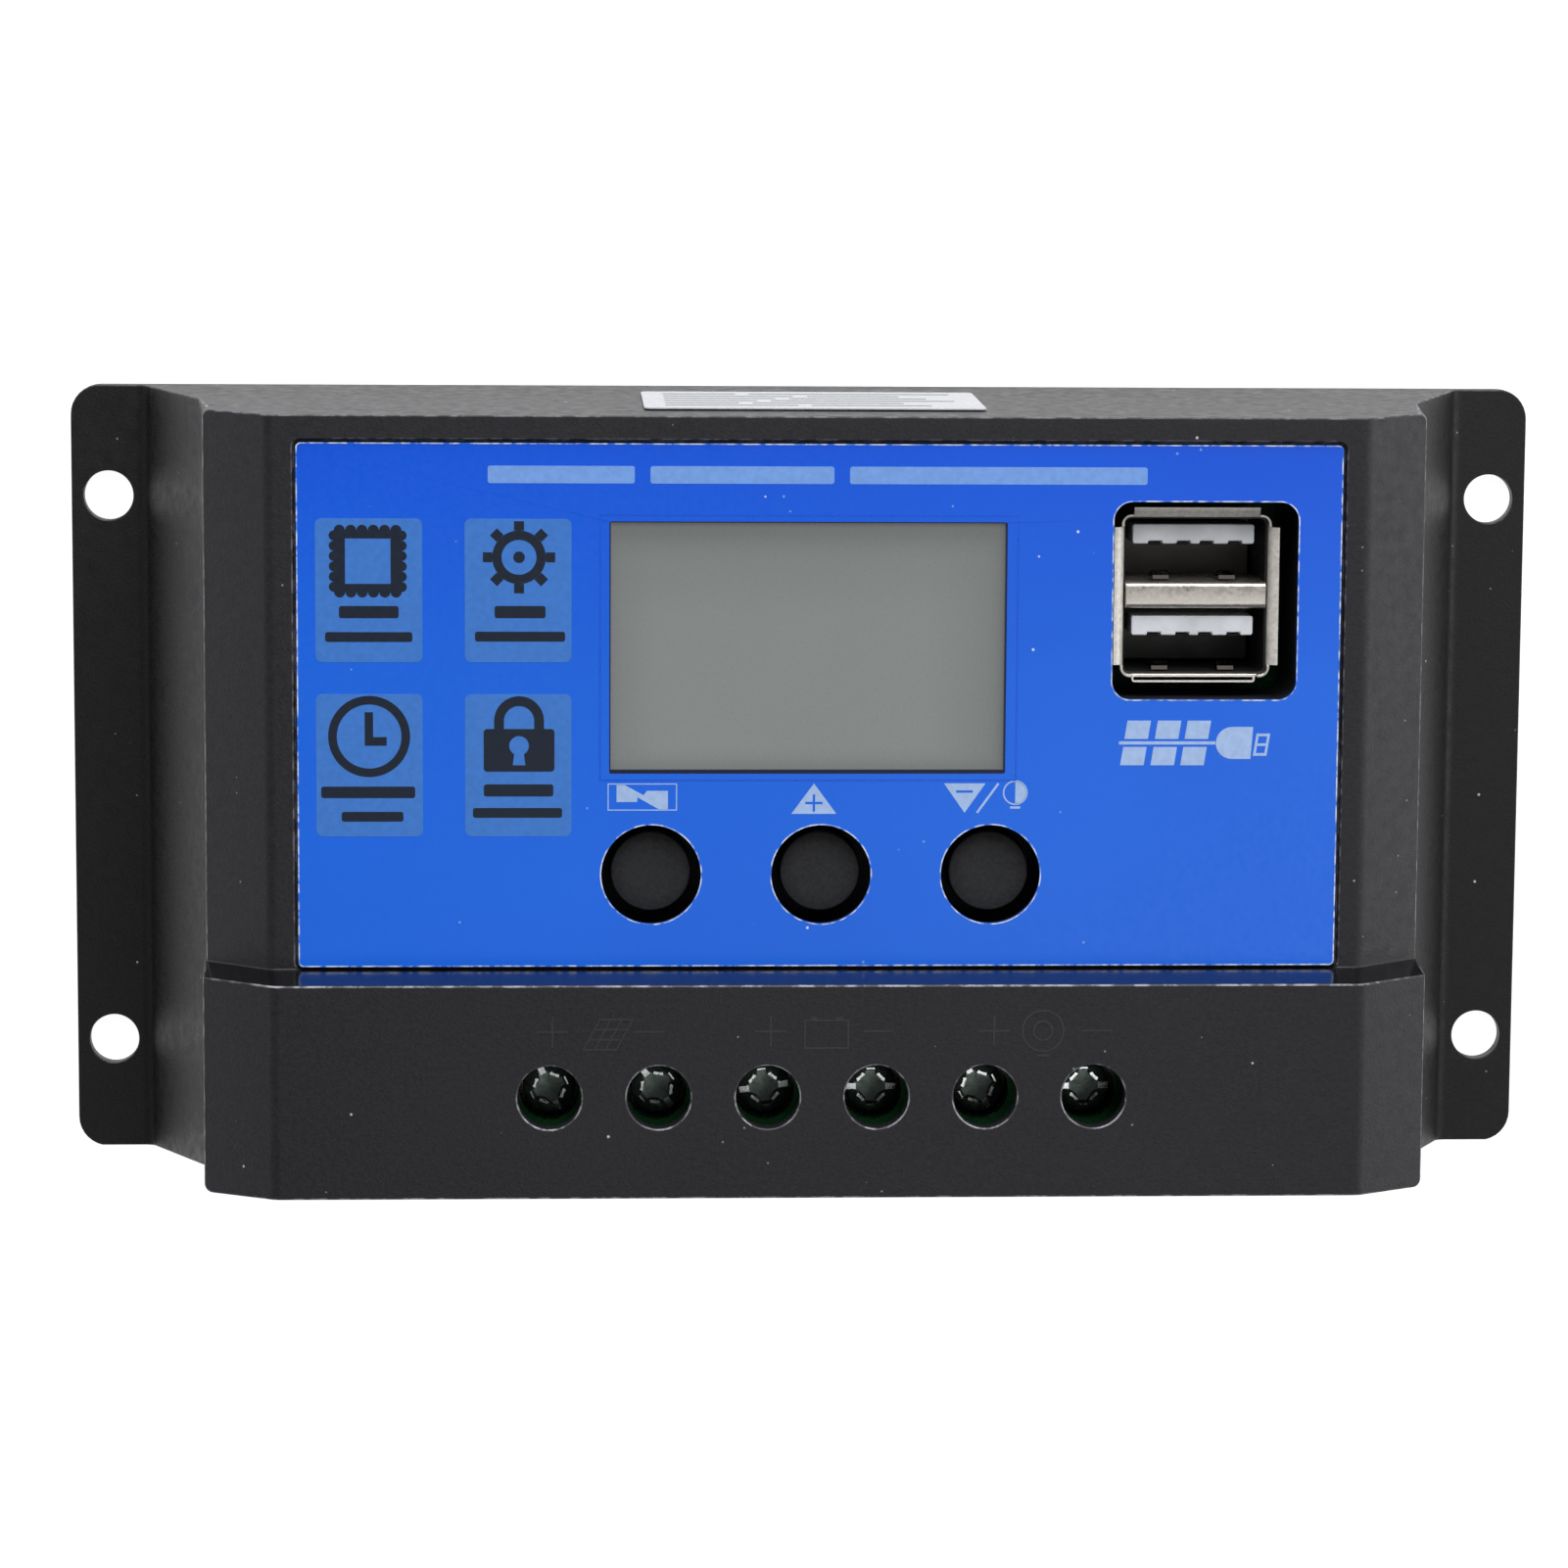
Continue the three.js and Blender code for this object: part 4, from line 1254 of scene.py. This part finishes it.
def on_end_wall(solid):
    """Stands a flat piece up on the drafted top end wall, where the sticker is."""
    lean = math.degrees(math.atan(TOP_DRAFT))
    z = STICKER["z"]
    return solid.turned("X", lean - 90).moved(STICKER["x"], top_end_y(z), z)


def make_sticker():
    """The paper, and rows of plain bars for its print."""
    top = 0.25
    paper = prism(rectangle(0, 0, STICKER["width"], STICKER["height"], 0.6), 0.1, top)
    look = ("sticker_paper", "sticker_paper")
    piece("sticker_paper", on_end_wall(paper), *look, ["rating_sticker"], bevel=0.04, segments=2)
    bars = []
    for row in range(6):
        y = 5.6 - 2.2 * row
        split = -6.5 + 1.7 * ((row * 3) % 4)
        end = 12.6 - 2.3 * ((row * 2) % 3)
        for x0, x1 in ((-13, split), (split + 1.2, end)):
            bars.append(ink_bar(x0, x1, y, 0.9, (top, top + 0.012)))
    piece("sticker_print", on_end_wall(joined(bars)), "sticker_ink", "sticker_paper")


# ---- back plate ----


def make_back_plate():
    low, high = box_mm("back_plate")
    sheet = prism(rectangle(*plan_mm("back_plate"), 1.5), low.z, high.z)
    sink = [(2.9, low.z - 0.5), (2.9, low.z + 0.2), (1.5, high.z), (1.5, high.z + 0.5)]
    screws = [middle_mm(f"back_screw_{number}") for number in range(1, 5)]
    body = cut(sheet, *[lathe(sink).moved(*at) for at in screws])
    piece("back_sheet", body, "plate_aluminium", "plate_aluminium", ["back_plate"], bevel=0.12)


def make_back_screw(number):
    """A countersunk screw with a cross recess."""
    node = f"back_screw_{number}"
    low, high = box_mm(node)
    profile = [
        (2.45, low.z),
        (2.6, low.z + 0.12),
        (2.6, low.z + 0.25),
        (1.2, low.z + 1.55),
        (1.2, high.z - 1.4),
        (0.15, high.z),
    ]
    recess = cross_recess([(0.4, low.z + 1.1), (0.8, low.z - PAST)]).turned("Z", 20)
    screw = cut(lathe(profile), recess).moved(*middle_mm(node))
    name = f"plate_screw_{number}"
    piece(name, screw, "zinc_steel", "zinc_steel", [node], bevel=0.05, segments=2)


def make_all():
    make_cover()
    make_film()
    make_tiles()
    make_icons()
    make_pale_print()
    make_display()
    for number in (1, 2, 3):
        make_button(number)
        make_terminal_block(number)
    for number in range(1, 7):
        make_terminal_screw(number)
    make_terminal_symbols()
    make_usb()
    make_sticker()
    make_back_plate()
    for number in range(1, 5):
        make_back_screw(number)


KEPT_NODES = {
    "display_backlight": ("milky", 0.3),
    "display_holder": ("black_resin", 0.3),
    "display_pin_row": ("tinned_brass", 0.06),
    "circuit_board": ("solder_mask", 0.15),
    "thermal_pad": ("silicone_pad", 0.1),
    "capacitor": ("can_sleeve", 0.15),
    "inductor": ("black_resin", 0.15),
    "microcontroller": ("black_resin", 0.15),
    "regulator_chip": ("black_resin", 0.15),
    "mosfet": ("black_resin", 0.12),
    "board_screw": ("zinc_steel", 0.08),
    "switch_body": ("black_resin", 0.15),
    "switch_stem": ("button_plastic", 0.15),
    "clamp_cage": ("tinned_brass", 0.15),
    "contact_bar": ("tinned_brass", 0.12),
}


def dress_kept_nodes():
    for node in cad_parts:
        kind = node.rstrip("0123456789_")
        if kind in KEPT_NODES:
            dress(node, *KEPT_NODES[kind])


make_all()
dress_kept_nodes()


# ---- floor, light and camera ----

WHITE = (1.0, 1.0, 1.0, 1.0)


def make_floor():
    floor = as_object("floor", prism(circle(0, 0, 3000, 96), -4, 0), MM)
    paint = Paint("floor_white", (0, 0, 0), 0.8)
    paint.look(Base_Color=(0.3, 0.3, 0.3, 1.0), Emission_Color=WHITE, Emission_Strength=0.95)
    floor.data.materials.append(paint.material)


def make_light(name, place, size, power):
    """A soft white panel at place that faces the origin, with size as its width and height."""
    data = bpy.data.lights.new(name, "AREA")
    data.shape = "RECTANGLE"
    data.size, data.size_y = size
    data.energy = power
    obj = bpy.data.objects.new(name, data)
    obj.location = place
    obj.rotation_euler = Vector(place).to_track_quat("Z", "Y").to_euler()
    bpy.context.scene.collection.objects.link(obj)


def make_world():
    world = bpy.data.worlds.new("studio")
    world.use_nodes = True
    background = world.node_tree.nodes["Background"]
    background.inputs["Color"].default_value = WHITE
    background.inputs["Strength"].default_value = 0.1
    bpy.context.scene.world = world


def make_camera():
    data = bpy.data.cameras.new("camera")
    data.sensor_width = 36.0
    data.lens = 112.24
    data.clip_start = 0.02
    data.clip_end = 20.0
    camera = bpy.data.objects.new("camera", data)
    right = Vector((0.99877, 0.00593, 0.04931))
    up = Vector((0.00026, 0.99221, -0.12454))
    back = Vector((-0.04966, 0.1244, 0.99099))
    turn = Matrix((right, up, back)).transposed().to_4x4()
    camera.matrix_world = Matrix.Translation((-0.02405, 0.05477, 0.44925)) @ turn
    bpy.context.scene.collection.objects.link(camera)
    bpy.context.scene.camera = camera


make_floor()
make_light("key", (0.1, 0.9, 0.9), (1.2, 0.6), 13)
make_light("side", (1.05, 0.1, 0.38), (0.6, 1.2), 4.5)
make_light("left", (-1.05, 0.1, 0.38), (0.6, 1.2), 0.9)
make_light("far_end", (0, 1.1, 0.25), (1.2, 0.3), 6.5)
make_light("sheen", (0.1, -0.17, 1.5), (1.2, 0.13), 0.15)
make_light("low_sheen", (0.3, -0.37, 1.5), (1.0, 0.3), 1.75)
make_world()
make_camera()
bpy.context.scene.view_settings.view_transform = "Standard"
